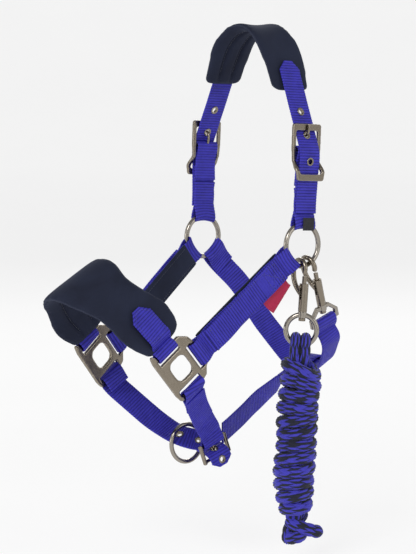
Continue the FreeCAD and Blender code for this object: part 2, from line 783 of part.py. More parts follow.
def boss():
    """The drilled collar that turns on the snap's post."""
    up = V(0, 0, 1)
    low = BARREL_LOW - 6.0
    block = Part.makeCylinder(4.3, 5.9, V(BARREL_AT, 0, low), up)
    hole = Part.makeCylinder(size("post_hole"), 12, V(BARREL_AT, 0, low - 3), up)
    space = Part.makeCylinder(3.6, 6, V(BARREL_AT, 0, low - 5.95), up)
    return block, [hole, space]


def lead_swivel():
    """A round eye for the rope."""
    block, spaces = boss()
    radius = size("swivel_radius")
    centre = V(BARREL_AT, 0, BARREL_LOW - 3.1 - radius)
    eye = Part.makeTorus(radius, 2.5, centre, LEAD_FACING)
    return eye.fuse(block).cut(spaces)


LEAD_FACING = V(0.777, -0.629, 0)


def throat_swivel():
    """A D-shaped eye for the throat strap."""
    block, spaces = boss()
    low = -EYE_DROP
    top = BARREL_LOW - 3.1
    outer = [V(-8, top + 2.3), V(-18.4, -55), V(-18.4, low - 2.3), V(18.4, low - 2.3),
             V(18.4, -55), V(8, top + 2.3)]
    inner = [V(-7, top - 2.3), V(-13.8, -55.4), V(-13.8, low + 2.3), V(13.8, low + 2.3),
             V(13.8, -55.4), V(7, top - 2.3)]
    plate = Part.Face(Part.makePolygon([V(0, p.x, p.y) for p in outer + outer[:1]]))
    window = Part.Face(Part.makePolygon([V(0, p.x, p.y) for p in inner + inner[:1]]))
    eye = plate.cut(window).extrude(V(4.4, 0, 0))
    eye.translate(V(BARREL_AT - 2.2, 0, 0))
    eye = eye.makeFillet(1.2, eye.Edges)
    return eye.fuse(block).cut(spaces)


def snaps():
    for name, place in (("lead", LEAD), ("throat", THROAT)):
        swivel = lead_swivel() if name == "lead" else throat_swivel()
        for kind, shape in (("snap_body", snap_body()), ("snap_bolt", snap_bolt()),
                            ("snap_spring", snap_spring()), ("swivel_eye", swivel)):
            shape.Placement = place
            feature(shape, f"{name}_{kind}")


def lead_rope():
    """The rope's eye round the swivel, its wrapped hank and its knotted end."""
    radius = size("swivel_radius")
    wire_low = BARREL_LOW - 3.1 - 2 * radius
    along = V(0, 0, 1).cross(LEAD_FACING)
    rope = size("rope")
    loop_centre = V(BARREL_AT, 0, wire_low)
    loop = Part.makeTorus(rope + 2.8, rope, loop_centre, along)
    up = V(0, 0, 1)
    hank = size("hank")
    top = wire_low - 12
    neck = Part.makeCone(14, hank, 8, V(BARREL_AT, 0, top), -up)
    wrapped = Part.makeCylinder(hank, size("hank_length"), V(BARREL_AT, 0, top - 8), -up)
    low = top - 8 - size("hank_length")
    taper = Part.makeCone(hank, 14, 12, V(BARREL_AT, 0, low), -up)
    knot = Part.makeSphere(12.5, V(BARREL_AT, 0, low - 18) - along * 6)
    tail = Part.makeCylinder(rope, 26, V(BARREL_AT, 0, low - 16), along)
    shape = loop.fuse([neck, wrapped, taper, knot, tail])
    space = Part.makeTorus(radius, 2.9, V(BARREL_AT, 0, wire_low + radius), LEAD_FACING)
    shape = shape.cut(space)
    shape.Placement = LEAD
    feature(shape, "lead_rope")


def build():
    cheek_rings()
    chin_ring()
    squares()
    cheek_buckles()
    billets()
    crown_straps()
    crown_pad()
    cheek_straps()
    nose_pad()
    nose_straps()
    chin_billet()
    chin_strap()
    chin_buckle()
    throat_strap()
    jowl_strap()
    size_label()
    snaps()
    lead_rope()


def check():
    """Stops before anything is written if an object failed or a shape is unsound."""
    for item in doc.Objects:
        if "Invalid" in item.State or "Error" in item.State:
            raise RuntimeError(f"{item.Label} failed to recompute")
    for item in pieces:
        if item.Shape.isNull() or not item.Shape.isValid() or item.Shape.Volume <= 0:
            raise RuntimeError(f"{item.Label} has no sound shape")


build()
doc.recompute()
check()
os.makedirs("parts", exist_ok=True)
for item in pieces:
    item.Shape.exportStep(os.path.join("parts", item.Label + ".step"))
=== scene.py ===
import json
import math
import bmesh
import bpy
import numpy as np
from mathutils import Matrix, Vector
from mathutils.kdtree import KDTree


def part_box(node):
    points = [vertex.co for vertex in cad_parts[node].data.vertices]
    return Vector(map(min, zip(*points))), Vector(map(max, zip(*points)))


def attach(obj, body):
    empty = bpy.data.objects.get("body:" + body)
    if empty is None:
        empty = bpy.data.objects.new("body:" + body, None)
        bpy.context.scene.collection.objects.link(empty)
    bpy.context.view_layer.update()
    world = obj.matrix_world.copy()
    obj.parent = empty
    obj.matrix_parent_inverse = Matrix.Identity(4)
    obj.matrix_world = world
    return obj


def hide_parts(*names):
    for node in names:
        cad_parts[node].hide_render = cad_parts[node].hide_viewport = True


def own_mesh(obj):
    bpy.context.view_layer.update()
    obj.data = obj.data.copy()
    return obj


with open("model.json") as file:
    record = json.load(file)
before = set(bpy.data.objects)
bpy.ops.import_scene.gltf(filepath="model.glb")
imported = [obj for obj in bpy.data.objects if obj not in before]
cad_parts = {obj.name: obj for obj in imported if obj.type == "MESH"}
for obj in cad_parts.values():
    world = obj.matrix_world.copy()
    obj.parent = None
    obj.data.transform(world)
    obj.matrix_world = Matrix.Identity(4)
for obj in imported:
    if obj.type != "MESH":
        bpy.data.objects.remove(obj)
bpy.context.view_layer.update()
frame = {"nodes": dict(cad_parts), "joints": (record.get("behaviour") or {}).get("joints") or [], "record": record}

# Looks of the head halter. Lengths are in metres; MM turns millimetres into metres.
# +X is the near side, -Y is toward the nose. Far pieces are mirrors of near ones.

MM = 0.001
WEB = 25 * MM
HALF = WEB / 2
PLY = 2 * MM
RIB = 2.8 * MM
RIB_DEPTH = 0.42 * MM


def at(x, y, z):
    """A point or offset given in millimetres."""
    return np.array([x, y, z], float) * MM


def direction(x, y, z):
    vector = np.array([x, y, z], float)
    return vector / np.linalg.norm(vector)


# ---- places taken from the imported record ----

MOUNTS = {mount["name"]: np.array(mount["pos_m"]) for mount in frame["record"]["mounts"]}
JOINTS = {joint["name"]: joint for joint in frame["joints"]}
RING = MOUNTS["near_cheek_ring"]
MIDDLE = RING * np.array([0, 1, 1])
MIRROR = np.array([-1, 1, 1])
PITCH = math.radians(39.2)
TAPER = math.radians(5.8)
CHEEK = np.array([
    math.cos(PITCH) * math.sin(TAPER), math.cos(PITCH) * math.cos(TAPER), math.sin(PITCH)
])
OUT = np.array([math.cos(TAPER), -math.sin(TAPER), 0])
FORWARD_UP = np.cross(OUT, CHEEK)
SQUARE = RING - CHEEK * 179 * MM
TILT = math.radians(2.8)
CROWN_UP = np.array([0, math.sin(TILT), math.cos(TILT)])
CROWN_SIDE = np.array([0, math.cos(TILT), -math.sin(TILT)])
BAR_GRIP = 4.4 * MM
RING_RADIUS = 20.5 * MM
RING_GRIP = 3.8 * MM


def on_square(along, up, out=0.0):
    """A point beside the near square, in millimetres along its own directions."""
    return SQUARE + (CHEEK * along + FORWARD_UP * up + OUT * out) * MM


def on_crown(out, up, side=0.0):
    """A point of the near crown straps, in millimetres from the ring's centre."""
    return RING + np.array([out, 0, 0]) * MM + (CROWN_UP * up + CROWN_SIDE * side) * MM


# ---- curves ----


def lengths(vectors):
    return np.linalg.norm(vectors, axis=-1, keepdims=True)


def spline(marks, values, where):
    """A smooth curve through values at marks, read at other places."""
    count = len(marks)
    gaps = np.diff(marks)
    matrix = np.eye(count)
    right = np.zeros((count, values.shape[1]))
    for i in range(1, count - 1):
        matrix[i, i - 1:i + 2] = gaps[i - 1], 2 * (gaps[i - 1] + gaps[i]), gaps[i]
        slope_after = (values[i + 1] - values[i]) / gaps[i]
        slope_before = (values[i] - values[i - 1]) / gaps[i - 1]
        right[i] = 6 * (slope_after - slope_before)
    bend = np.linalg.solve(matrix, right)
    index = np.clip(np.searchsorted(marks, where) - 1, 0, count - 2)
    gap = gaps[index][:, None]
    a = (marks[index + 1] - where)[:, None] / gap
    b = 1 - a
    curve = a * values[index] + b * values[index + 1]
    return curve + ((a**3 - a) * bend[index] + (b**3 - b) * bend[index + 1]) * gap**2 / 6


def travelled(points):
    steps = lengths(np.diff(points, axis=0))[:, 0]
    return np.concatenate([[0.0], np.cumsum(steps)])


class Strip:
    """A curve with a width direction at every place, read by distance along it."""

    def __init__(self, points, across, step):
        points = np.array(points, float)
        across = np.array(across, float)
        marks = travelled(points)
        dense = np.linspace(0, marks[-1], 800)
        run = travelled(spline(marks, points, dense))
        count = max(6, round(run[-1] / step))
        self.along = np.linspace(0, run[-1], count + 1)
        where = np.interp(self.along, run, dense)
        self.centre = spline(marks, points, where)
        half = np.stack([np.interp(where, marks, across[:, k]) for k in range(3)], 1)
        tangent = np.gradient(self.centre, axis=0)
        self.tangent = tangent / lengths(tangent)
        reach = lengths(half)
        half = half - self.tangent * np.sum(half * self.tangent, 1, keepdims=True)
        self.half = half / lengths(half) * reach
        self.face = np.cross(self.tangent, half / lengths(half))
        self.length = run[-1]

    def read(self, values, distance):
        return np.array([np.interp(distance, self.along, values[:, k]) for k in range(3)])

    def point(self, distance, side, lift):
        """A place on the strip: side runs from -1 to 1 over its width, lift is off its face."""
        centre = self.read(self.centre, distance)
        return centre + self.read(self.half, distance) * side + self.read(self.face, distance) * lift


def fold(centre, away, out, radius, spread=80):
    """Points round a bar, from one face of a strap to the other; away points past the bar."""
    angles = np.radians(np.linspace(-spread, spread, 7))
    return [centre + (away * math.cos(a) + out * math.sin(a)) * radius for a in angles]


# ---- mesh makers ----


def mesh_object(name, vertices, faces, material, attributes=None):
    mesh = bpy.data.meshes.new(name)
    mesh.from_pydata([tuple(v) for v in vertices], [], faces)
    for key, values in (attributes or {}).items():
        layer = mesh.attributes.new(key, "FLOAT", "POINT")
        layer.data.foreach_set("value", np.asarray(values, np.float32))
    mesh.polygons.foreach_set("use_smooth", [True] * len(mesh.polygons))
    mesh.materials.append(material)
    piece = bpy.data.objects.new(name, mesh)
    bpy.context.scene.collection.objects.link(piece)
    return piece


def tube_faces(rows, columns, closed=False):
    """Faces of a grid whose columns close on themselves, with both ends capped."""
    faces = []
    for i in range(rows if closed else rows - 1):
        for k in range(columns):
            after = (k + 1) % columns
            here = i * columns
            there = (i + 1) % rows * columns
            faces.append((here + k, here + after, there + after, there + k))
    if not closed:
        faces.append(tuple(range(columns - 1, -1, -1)))
        faces.append(tuple((rows - 1) * columns + k for k in range(columns)))
    return faces


def section(columns=10, bulge=0.05):
    """A strap's cross-section: places across from -1 to 1, and -1 or 1 for its faces."""
    flat = np.linspace(-1 + bulge, 1 - bulge, columns)
    round_side = [(1 - bulge * 0.3, 0.62), (1.0, 0.0), (1 - bulge * 0.3, -0.62)]
    top = [(side, 1.0) for side in flat]
    low = [(-side, -1.0) for side in flat]
    return np.array(top + round_side + low + [(-a, -b) for a, b in round_side])


def tip_width(distance, tip):
    """How a pointed end narrows the strap."""
    return np.clip(0.36 + 0.64 * distance / tip, 0, 1)


def webbing(name, strip, thick=PLY, tip_start=0.0, tip_end=0.0, phase=0.0):
    """Ribbed webbing along a strip, with real ribs and closed ends."""
    shape = section()
    ribs = np.abs(np.sin(np.pi * (strip.along / RIB + phase))) ** 0.55
    wave = 0.10 * MM * np.sin(strip.along * 190 + phase * 5)
    width = np.ones(len(strip.along))
    if tip_start:
        width *= tip_width(strip.along, tip_start)
    if tip_end:
        width *= tip_width(strip.length - strip.along, tip_end)
    height = thick / 2 - RIB_DEPTH * (1 - ribs)
    ends = np.minimum(strip.along, strip.length - strip.along)
    height = height * np.clip(0.55 + ends / (0.9 * MM), 0, 1)
    edge = 1 - 0.016 * (1 - ribs)
    across = strip.half[:, None] * (shape[:, 0] * (width * edge)[:, None])[..., None]
    lift = shape[:, 1] * height[:, None] + wave[:, None]
    places = strip.centre[:, None] + across + strip.face[:, None] * lift[..., None]
    rows, columns = lift.shape
    reach = lengths(strip.half)
    attributes = {
        "along": np.repeat(strip.along, columns),
        "side": (shape[:, 0] * reach * width[:, None]).ravel(),
        # groove: depth between the ribs, which the material turns into painted shade
        "groove": np.repeat(1 - ribs, columns),
    }
    faces = tube_faces(rows, columns)
    return mesh_object(name, places.reshape(-1, 3), faces, WEBBING, attributes)


def bead(vertices, faces, start, end, normal, radius):
    """One stitch: a small rounded thread between two points."""
    along = end - start
    length = np.linalg.norm(along)
    along = along / length
    side = np.cross(along, normal)
    side = side / np.linalg.norm(side)
    up = np.cross(side, along)
    base = len(vertices)
    for part, swell in ((0.0, 0.35), (0.25, 0.9), (0.5, 1.0), (0.75, 0.9), (1.0, 0.35)):
        for k in range(6):
            angle = math.pi / 3 * k
            offset = side * math.cos(angle) + up * math.sin(angle)
            arch = up * radius * (math.sin(math.pi * part) - 0.4)
            vertices.append(start + along * length * part + offset * radius * swell + arch)
    for face in tube_faces(5, 6):
        faces.append(tuple(base + index for index in face))


def stitched(name, runs, material, pitch=3.0 * MM, radius=0.30 * MM):
    """Rows of stitches; each run is a list of (point, normal)."""
    vertices = []
    faces = []
    for run in runs:
        points = np.array([point for point, normal in run])
        normals = np.array([normal for point, normal in run])
        marks = travelled(points)
        count = max(2, round(marks[-1] / pitch))
        for k in range(count):
            ends = []
            for where in ((k + 0.12) / count, (k + 0.88) / count):
                ends.append([np.interp(where * marks[-1], marks, points[:, c]) for c in range(3)])
            middle = (k + 0.5) / count * marks[-1]
            normal = np.array([np.interp(middle, marks, normals[:, c]) for c in range(3)])
            bead(vertices, faces, np.array(ends[0]), np.array(ends[1]), normal, radius)
    return mesh_object(name, vertices, faces, material)


def strip_run(strip, places, lift):
    """A stitch run over a strip through (distance, side) places."""
    run = []
    for (s0, v0), (s1, v1) in zip(places, places[1:]):
        for part in np.linspace(0, 1, 8):
            s = s0 + (s1 - s0) * part
            v = v0 + (v1 - v0) * part
            normal = strip.read(strip.face, s) * (1 if lift > 0 else -1)
            run.append((strip.point(s, v, lift), normal))
    return run


def box_stitch(strip, low, high, lift, cross=True):
    """A box of stitches between two distances, with a cross inside it."""
    edge = 0.82
    runs = [strip_run(strip, [(low, -edge), (high, -edge), (high, edge), (low, edge), (low, -edge)], lift)]
    if cross:
        runs.append(strip_run(strip, [(low, -edge), (high, edge)], lift))
        runs.append(strip_run(strip, [(low, edge), (high, -edge)], lift))
    return runs


def joined(first, *others):
    """Puts the meshes of several pieces into the first one."""
    bpy.ops.object.select_all(action="DESELECT")
    for piece in (first,) + others:
        piece.select_set(True)
    bpy.context.view_layer.objects.active = first
    bpy.ops.object.join()
    return first


def mirrored(piece, name):
    """The far-side twin of a near-side piece."""
    twin = bpy.data.objects.new(name, piece.data.copy())
    twin.data.name = name
    bpy.context.scene.collection.objects.link(twin)
    for vertex in twin.data.vertices:
        vertex.co.x = -vertex.co.x
    twin.data.flip_normals()
    return twin


def moved_vertices(piece, change):
    """Replaces the vertex places of a piece by change(places)."""
    mesh = piece.data
    places = np.zeros(len(mesh.vertices) * 3)
    mesh.vertices.foreach_get("co", places)
    places = change(places.reshape(-1, 3))
    mesh.vertices.foreach_set("co", places.ravel())
    mesh.update()
    return piece


def hug_ring(piece, centre, toward, across):
    """Bends the fold of a strap partly round the curve of the ring's wire."""
    reach = 16 * MM
    follow = 0.55

    def change(places):
        offset = places - centre
        side = np.clip(offset @ across, -0.95 * RING_RADIUS, 0.95 * RING_RADIUS)
        sag = RING_RADIUS - np.sqrt(RING_RADIUS**2 - side**2)
        distance = np.abs(offset @ toward - RING_RADIUS)
        share = np.clip(1 - distance / reach, 0, 1)
        share = share * share * (3 - 2 * share)
        return places - toward * (sag * share * follow)[:, None]
    return moved_vertices(piece, change)


def finished(piece, body, slot, *nodes):
    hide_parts(*nodes)
    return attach(piece, body)


def pair(piece, node, slot="webbing_blue"):
    """Finishes a near piece named near_NODE and its mirrored far twin."""
    twin = mirrored(piece, piece.name.replace("near_", "far_"))
    finished(piece, "root", slot, "near_" + node)
    finished(twin, "root", slot, "far_" + node)


# ---- materials ----


class Paint:
    """A node material being put together."""

    def __init__(self, name, metallic=0.0, roughness=0.5, sheen=0.0):
        self.material = bpy.data.materials.new(name)
        self.material.use_nodes = True
        self.tree = self.material.node_tree
        self.shader = self.tree.nodes["Principled BSDF"]
        self.shader.inputs["Metallic"].default_value = metallic
        self.shader.inputs["Roughness"].default_value = roughness
        self.shader.inputs["Sheen Weight"].default_value = sheen
        self.height = None

    def node(self, kind, **values):
        item = self.tree.nodes.new("ShaderNode" + kind)
        for key, value in values.items():
            target = item.inputs.get(key.replace("_", " "))
            if target is not None:
                self.feed(target, value)
            else:
                setattr(item, key, value)
        return item

    def feed(self, target, value):
        if isinstance(value, bpy.types.NodeSocket):
            self.tree.links.new(value, target)
        else:
            target.default_value = value

    def math(self, operation, first, second=0.0):
        item = self.node("Math", operation=operation)
        self.feed(item.inputs[0], first)
        self.feed(item.inputs[1], second)
        return item.outputs[0]

    def mix(self, share, first, second):
        item = self.node("Mix", data_type="RGBA")
        self.feed(item.inputs["Factor"], share)
        self.feed(item.inputs[6], first)
        self.feed(item.inputs[7], second)
        return item.outputs[2]

    def noise(self, scale, detail=3.0, vector=None, distortion=0.0):
        item = self.node("TexNoise", Scale=scale, Detail=detail, Distortion=distortion)
        if vector is None:
            vector = self.node("TexCoord").outputs["Object"]
        self.feed(item.inputs["Vector"], vector)
        return item.outputs["Fac"]

    def range(self, value, low, high, to_low=0.0, to_high=1.0):
        item = self.node("MapRange", From_Min=low, From_Max=high, To_Min=to_low, To_Max=to_high)
        self.feed(item.inputs["Value"], value)
        return item.outputs["Result"]

    def read(self, name):
        return self.node("Attribute", attribute_name=name).outputs["Fac"]

    def color(self, value):
        self.feed(self.shader.inputs["Base Color"], value)

    def roughness(self, value):
        self.feed(self.shader.inputs["Roughness"], value)

    def bump(self, height, distance, strength=1.0):
        item = self.node("Bump", Distance=distance, Strength=strength)
        self.feed(item.inputs["Height"], height)
        if self.height is not None:
            self.feed(item.inputs["Normal"], self.height)
        self.height = item.outputs["Normal"]
        self.feed(self.shader.inputs["Normal"], self.height)


def rgb(red, green, blue):
    return (red, green, blue, 1.0)


def woven(name, bright, dark, thread=0.62 * MM, sheen=0.12):
    """Webbing: warp threads along the strap, packed over ribs that are real geometry; the grooves between the ribs
    get painted shade.
    """
    paint = Paint(name, roughness=0.52, sheen=sheen)
    along = paint.read("along")
    side = paint.read("side")
    row = paint.math("MULTIPLY", along, 1 / RIB)
    odd = paint.math("MULTIPLY", paint.math("FLOOR", row), 0.5)
    column = paint.math("ADD", paint.math("MULTIPLY", side, 1 / thread), odd)
    wave = paint.math("SINE", paint.math("MULTIPLY", column, 2 * math.pi))
    fine = paint.math("SINE", paint.math("MULTIPLY", along, 2 * math.pi / (0.85 * MM)))
    threads = paint.math("ADD", paint.math("MULTIPLY", wave, 0.7), paint.math("MULTIPLY", fine, 0.3))
    # Painted shade: the groove attribute darkens the colour between the ribs; the thread and noise terms are the
    # weave's own tone.
    groove = paint.read("groove")
    worn = paint.noise(90, 4)
    shade = paint.math("ADD", paint.math("MULTIPLY", groove, 0.95), paint.math("MULTIPLY", threads, -0.10))
    shade = paint.math("ADD", shade, paint.range(worn, 0.3, 0.7, -0.10, 0.16))
    paint.color(paint.mix(paint.range(shade, 0.0, 1.0), bright, dark))
    paint.roughness(paint.range(paint.noise(400), 0.3, 0.7, 0.42, 0.62))
    paint.shader.inputs["Sheen Tint"].default_value = bright
    paint.shader.inputs["Specular IOR Level"].default_value = 0.22
    paint.bump(threads, 0.12 * MM, 0.6)
    paint.bump(paint.noise(2600, 2), 0.06 * MM, 0.5)
    return paint.material


def suede(name, base, pale):
    """Brushed pad fabric: a soft nap with slow changes of tone."""
    paint = Paint(name, roughness=0.9, sheen=0.10)
    nap = paint.noise(2200, 4)
    slow = paint.noise(26, 3, distortion=0.6)
    tone = paint.math("ADD", paint.math("MULTIPLY", nap, 0.35), paint.math("MULTIPLY", slow, 0.65))
    paint.color(paint.mix(paint.range(tone, 0.35, 0.68), base, pale))
    paint.shader.inputs["Sheen Tint"].default_value = rgb(0.25, 0.3, 0.5)
    paint.shader.inputs["Specular IOR Level"].default_value = 0.2
    paint.roughness(paint.range(slow, 0.3, 0.7, 0.82, 0.95))
    paint.bump(nap, 0.10 * MM, 0.6)
    paint.bump(slow, 0.8 * MM, 0.35)
    return paint.material


def thread_material(name, base):
    paint = Paint(name, roughness=0.45, sheen=0.3)
    twist = paint.noise(1800, 2, distortion=1.5)
    paint.color(paint.mix(paint.range(twist, 0.3, 0.7), base, rgb(*[c * 0.5 for c in base[:3]])))
    paint.bump(twist, 0.08 * MM, 0.7)
    return paint.material


def gunmetal(name, base=rgb(0.25, 0.215, 0.17), worn=rgb(0.52, 0.47, 0.40), rough=0.20):
    """Plated casting: dark warm metal, rubbed lighter on its edges, with fine scratches."""
    paint = Paint(name, metallic=1.0, roughness=rough)
    edge = paint.node("NewGeometry").outputs["Pointiness"]
    stain = paint.noise(160, 5)
    grain = paint.noise(900, 3, distortion=0.4)
    rub = paint.math("ADD", paint.range(edge, 0.515, 0.60), paint.range(stain, 0.45, 0.75, 0.0, 0.05))
    paint.color(paint.mix(paint.range(rub, 0.0, 1.0), base, worn))
    paint.roughness(paint.range(paint.math("ADD", stain, paint.math("MULTIPLY", grain, 0.4)),
                                0.4, 0.95, rough - 0.04, rough + 0.08))
    paint.bump(grain, 0.03 * MM, 0.12)
    paint.bump(stain, 0.10 * MM, 0.03)
    return paint.material


def rope_material():
    """Two tones of cord; each stitch's tone is stored on the mesh, and the low places between the stitches get
    painted shade.
    """
    paint = Paint("rope_cord", roughness=0.7, sheen=0.12)
    paint.shader.inputs["Specular IOR Level"].default_value = 0.22
    tone = paint.read("tone")
    fibres = paint.noise(1500, 3, distortion=2.0)
    crown = paint.read("crown")
    bright = paint.mix(paint.range(fibres, 0.3, 0.7), rgb(0.034, 0.030, 0.33), rgb(0.060, 0.055, 0.50))
    deep = paint.mix(paint.range(fibres, 0.3, 0.7), rgb(0.007, 0.008, 0.018), rgb(0.018, 0.020, 0.038))
    color = paint.mix(paint.range(tone, 0.42, 0.58), bright, deep)
    # Painted shade: where a stitch's crown is low, the colour goes toward near black.
    shadow = paint.range(crown, 0.0, 0.5, 0.85, 0.0)
    paint.color(paint.mix(shadow, color, rgb(0.006, 0.006, 0.02)))
    paint.bump(fibres, 0.25 * MM, 0.8)
    return paint.material


# The second webbing colour is mostly painted shade for the grooves between the ribs.
WEBBING = woven("webbing_blue", rgb(0.042, 0.036, 0.43), rgb(0.006, 0.004, 0.075))
THREAD = thread_material("thread_blue", rgb(0.036, 0.032, 0.34))
NAVY = suede("pad_navy", rgb(0.0095, 0.012, 0.026), rgb(0.019, 0.024, 0.047))
NAVY_THREAD = thread_material("thread_navy", rgb(0.03, 0.036, 0.07))
GUNMETAL = gunmetal("gunmetal")
WIRE = gunmetal("gunmetal_wire", rgb(0.33, 0.30, 0.26), rgb(0.66, 0.62, 0.56), 0.16)
SPRING = gunmetal("spring_steel", rgb(0.5, 0.5, 0.5), rgb(0.7, 0.7, 0.7), 0.3)
ROPE = rope_material()
RED = woven("tab_red", rgb(0.40, 0.022, 0.070), rgb(0.16, 0.008, 0.03), 0.45 * MM, 0.15)
BLACK = woven("label_dark", rgb(0.022, 0.022, 0.028), rgb(0.006, 0.006, 0.008), 0.45 * MM, 0.1)
RED_THREAD = thread_material("thread_red", rgb(0.50, 0.05, 0.10))
BINDING = suede("pad_binding", rgb(0.016, 0.020, 0.038), rgb(0.034, 0.040, 0.068))


# ---- straps ----


def double_strap(low, low_grip, high, high_grip, out, across):
    """The closed run of a doubled strap from a low bar to a high one, seams inside."""
    along = (high - low) / np.linalg.norm(high - low)
    lift = PLY / 2 + 0.05 * MM
    middle = (low + high) / 2
    near_low = low + along * 10 * MM
    near_high = high - along * 11 * MM
    path = [middle - out * lift - along * MM, near_low - out * lift]
    path += fold(low, -along, -out, low_grip)[::-1]
    path += [near_low + out * lift, middle + out * lift, near_high + out * lift]
    path += fold(high, along, -out, high_grip)
    path += [near_high - out * lift, middle - out * lift + along * MM]
    return path, [across] * len(path)


def billets():
    """Doubled webbing from the cheek ring up to the buckle, with its overlaid outer ply."""
    low = on_crown(0, 20.5)
    high = on_crown(0, 93)
    out = np.array([1.0, 0, 0])
    across = CROWN_SIDE * HALF
    path, widths = double_strap(low, RING_GRIP, high, 2.9 * MM, out, across)
    piece = webbing("near_billet_webbing", Strip(path, widths, RIB / 6))
    hug_ring(piece, RING, CROWN_UP, CROWN_SIDE)
    cover = Strip([on_crown(2.75, 33), on_crown(2.75, 52), on_crown(2.75, 72)],
                  [across] * 3, RIB / 6)
    seams = stitched("billet_seams", box_stitch(cover, 4 * MM, 36 * MM, 0.55 * MM, False), THREAD)
    pair(joined(piece, webbing("cover", cover, 1.3 * MM), seams), "billet")


def cheek_straps():
    """Doubled webbing from the square to the cheek ring, with an outer ply and a liner."""
    low = on_square(26 - 1.5, 0)
    high = RING - CHEEK * RING_RADIUS
    across = -FORWARD_UP * HALF
    path, widths = double_strap(low, BAR_GRIP, high, RING_GRIP, OUT, across)
    piece = webbing("near_cheek_webbing", Strip(path, widths, RIB / 6))
    hug_ring(piece, RING, -CHEEK, FORWARD_UP)
    cover = Strip([on_square(41, 0, 3.6), on_square(46, 0, 3.1), on_square(95, 0, 3.0),
                   on_square(138, 0, 3.0), on_square(145, 0, 2.8)], [across] * 5, RIB / 6)
    runs = box_stitch(cover, 5 * MM, 20 * MM, -1.0 * MM)
    runs += box_stitch(cover, cover.length - 20 * MM, cover.length - 4 * MM, -1.0 * MM)
    for side in (-0.86, 0.86):
        runs.append(strip_run(cover, [(20 * MM, side), (cover.length - 20 * MM, side)], -0.9 * MM))
    seams = stitched("cheek_seams", runs, THREAD)
    pair(joined(piece, webbing("cover", cover, 1.6 * MM), seams), "cheek_strap")
    liner = padded_strip("near_cheek_lining", [on_square(34, 0, -3.75), on_square(90, 0, -3.75),
                                              on_square(152, 0, -3.75)], FORWARD_UP * 13.4 * MM, 3.0 * MM)
    pair(liner, "cheek_liner", "pad_navy")


def padded_strip(name, points, across, thick):
    """A long soft lining: rounded edges, with two rows of quilting along it."""
    strip = Strip(points, [across] * len(points), 2 * MM)
    columns = 40
    angle = np.linspace(0, 2 * math.pi, columns, endpoint=False)
    side = np.sign(np.cos(angle)) * np.abs(np.cos(angle)) ** 0.45
    lift = np.sign(np.sin(angle)) * np.abs(np.sin(angle)) ** 0.6
    ends = np.minimum(strip.along, strip.length - strip.along)
    taper = np.sqrt(np.clip(ends / (3 * MM), 0.02, 1))
    dent = 1 - 0.45 * np.exp(-(((np.abs(side) - 0.72) / 0.09) ** 2))
    ripple = 1 + 0.05 * np.sin(strip.along * 420)[:, None] * np.cos(side * 2)
    height = lift * dent * taper[:, None] * ripple * thick / 2
    width = side * (0.97 + 0.03 * taper[:, None])
    places = (strip.centre[:, None] + strip.half[:, None] * width[..., None]
              + strip.face[:, None] * height[..., None])
    faces = tube_faces(len(strip.along), columns)
    piece = mesh_object(name, places.reshape(-1, 3), faces, NAVY)
    runs = [strip_run(strip, [(3 * MM, s), (strip.length - 3 * MM, s)], face * thick * 0.28)
            for s in (-0.72, 0.72) for face in (-1, 1)]
    return joined(piece, stitched(name + "_seams", runs, NAVY_THREAD))


def crown_line(along):
    lean = math.radians(24.5)
    return on_crown(5.65 - math.sin(lean) * along, 93 + math.cos(lean) * along)


def eyelet_places(node):
    """The middle of each eyelet in a CAD node, with the direction it faces."""
    mesh = bmesh.new()
    mesh.from_mesh(frame["nodes"][node].data)
    bmesh.ops.remove_doubles(mesh, verts=mesh.verts, dist=1e-6)
    waiting = set(mesh.verts)
    found = []
    for first in mesh.verts:
        if first not in waiting:
            continue
        waiting.remove(first)
        island = [first]
        for vertex in island:
            for edge in vertex.link_edges:
                other = edge.other_vert(vertex)
                if other in waiting:
                    waiting.remove(other)
                    island.append(other)
        places = np.array([vertex.co for vertex in island])
        middle = (places.min(0) + places.max(0)) / 2
        axes = np.linalg.eigh(np.cov((places - places.mean(0)).T))[1]
        found.append((middle, axes[:, 0]))
    mesh.free()
    return found


def pierced(piece, node, radius=3.0 * MM):
    """Cuts the eyelets' holes through a strap."""
    vertices = []
    faces = []
    for middle, axis in eyelet_places(node):
        side = np.cross(axis, direction(0.31, 0.52, 0.79))
        side = side / np.linalg.norm(side)
        up = np.cross(axis, side)
        base = len(vertices)
        for end in (-4 * MM, 4 * MM):
            for k in range(24):
                turn = math.pi / 12 * k
                vertices.append(middle + axis * end + (side * math.cos(turn) + up * math.sin(turn)) * radius)
        faces += [tuple(base + index for index in face) for face in tube_faces(2, 24)]
    tool = mesh_object("punch", vertices, faces, WEBBING)
    cutter = piece.modifiers.new("Punch", "BOOLEAN")
    cutter.operation = "DIFFERENCE"
    cutter.object = tool
    apply_modifiers(piece)
    bpy.data.objects.remove(tool)
    return piece


def apply_modifiers(piece):
    """Bakes a piece's modifiers into its mesh."""
    ready = bpy.context.evaluated_depsgraph_get()
    mesh = bpy.data.meshes.new_from_object(piece.evaluated_get(ready))
    piece.modifiers.clear()
    piece.data = mesh
    return piece


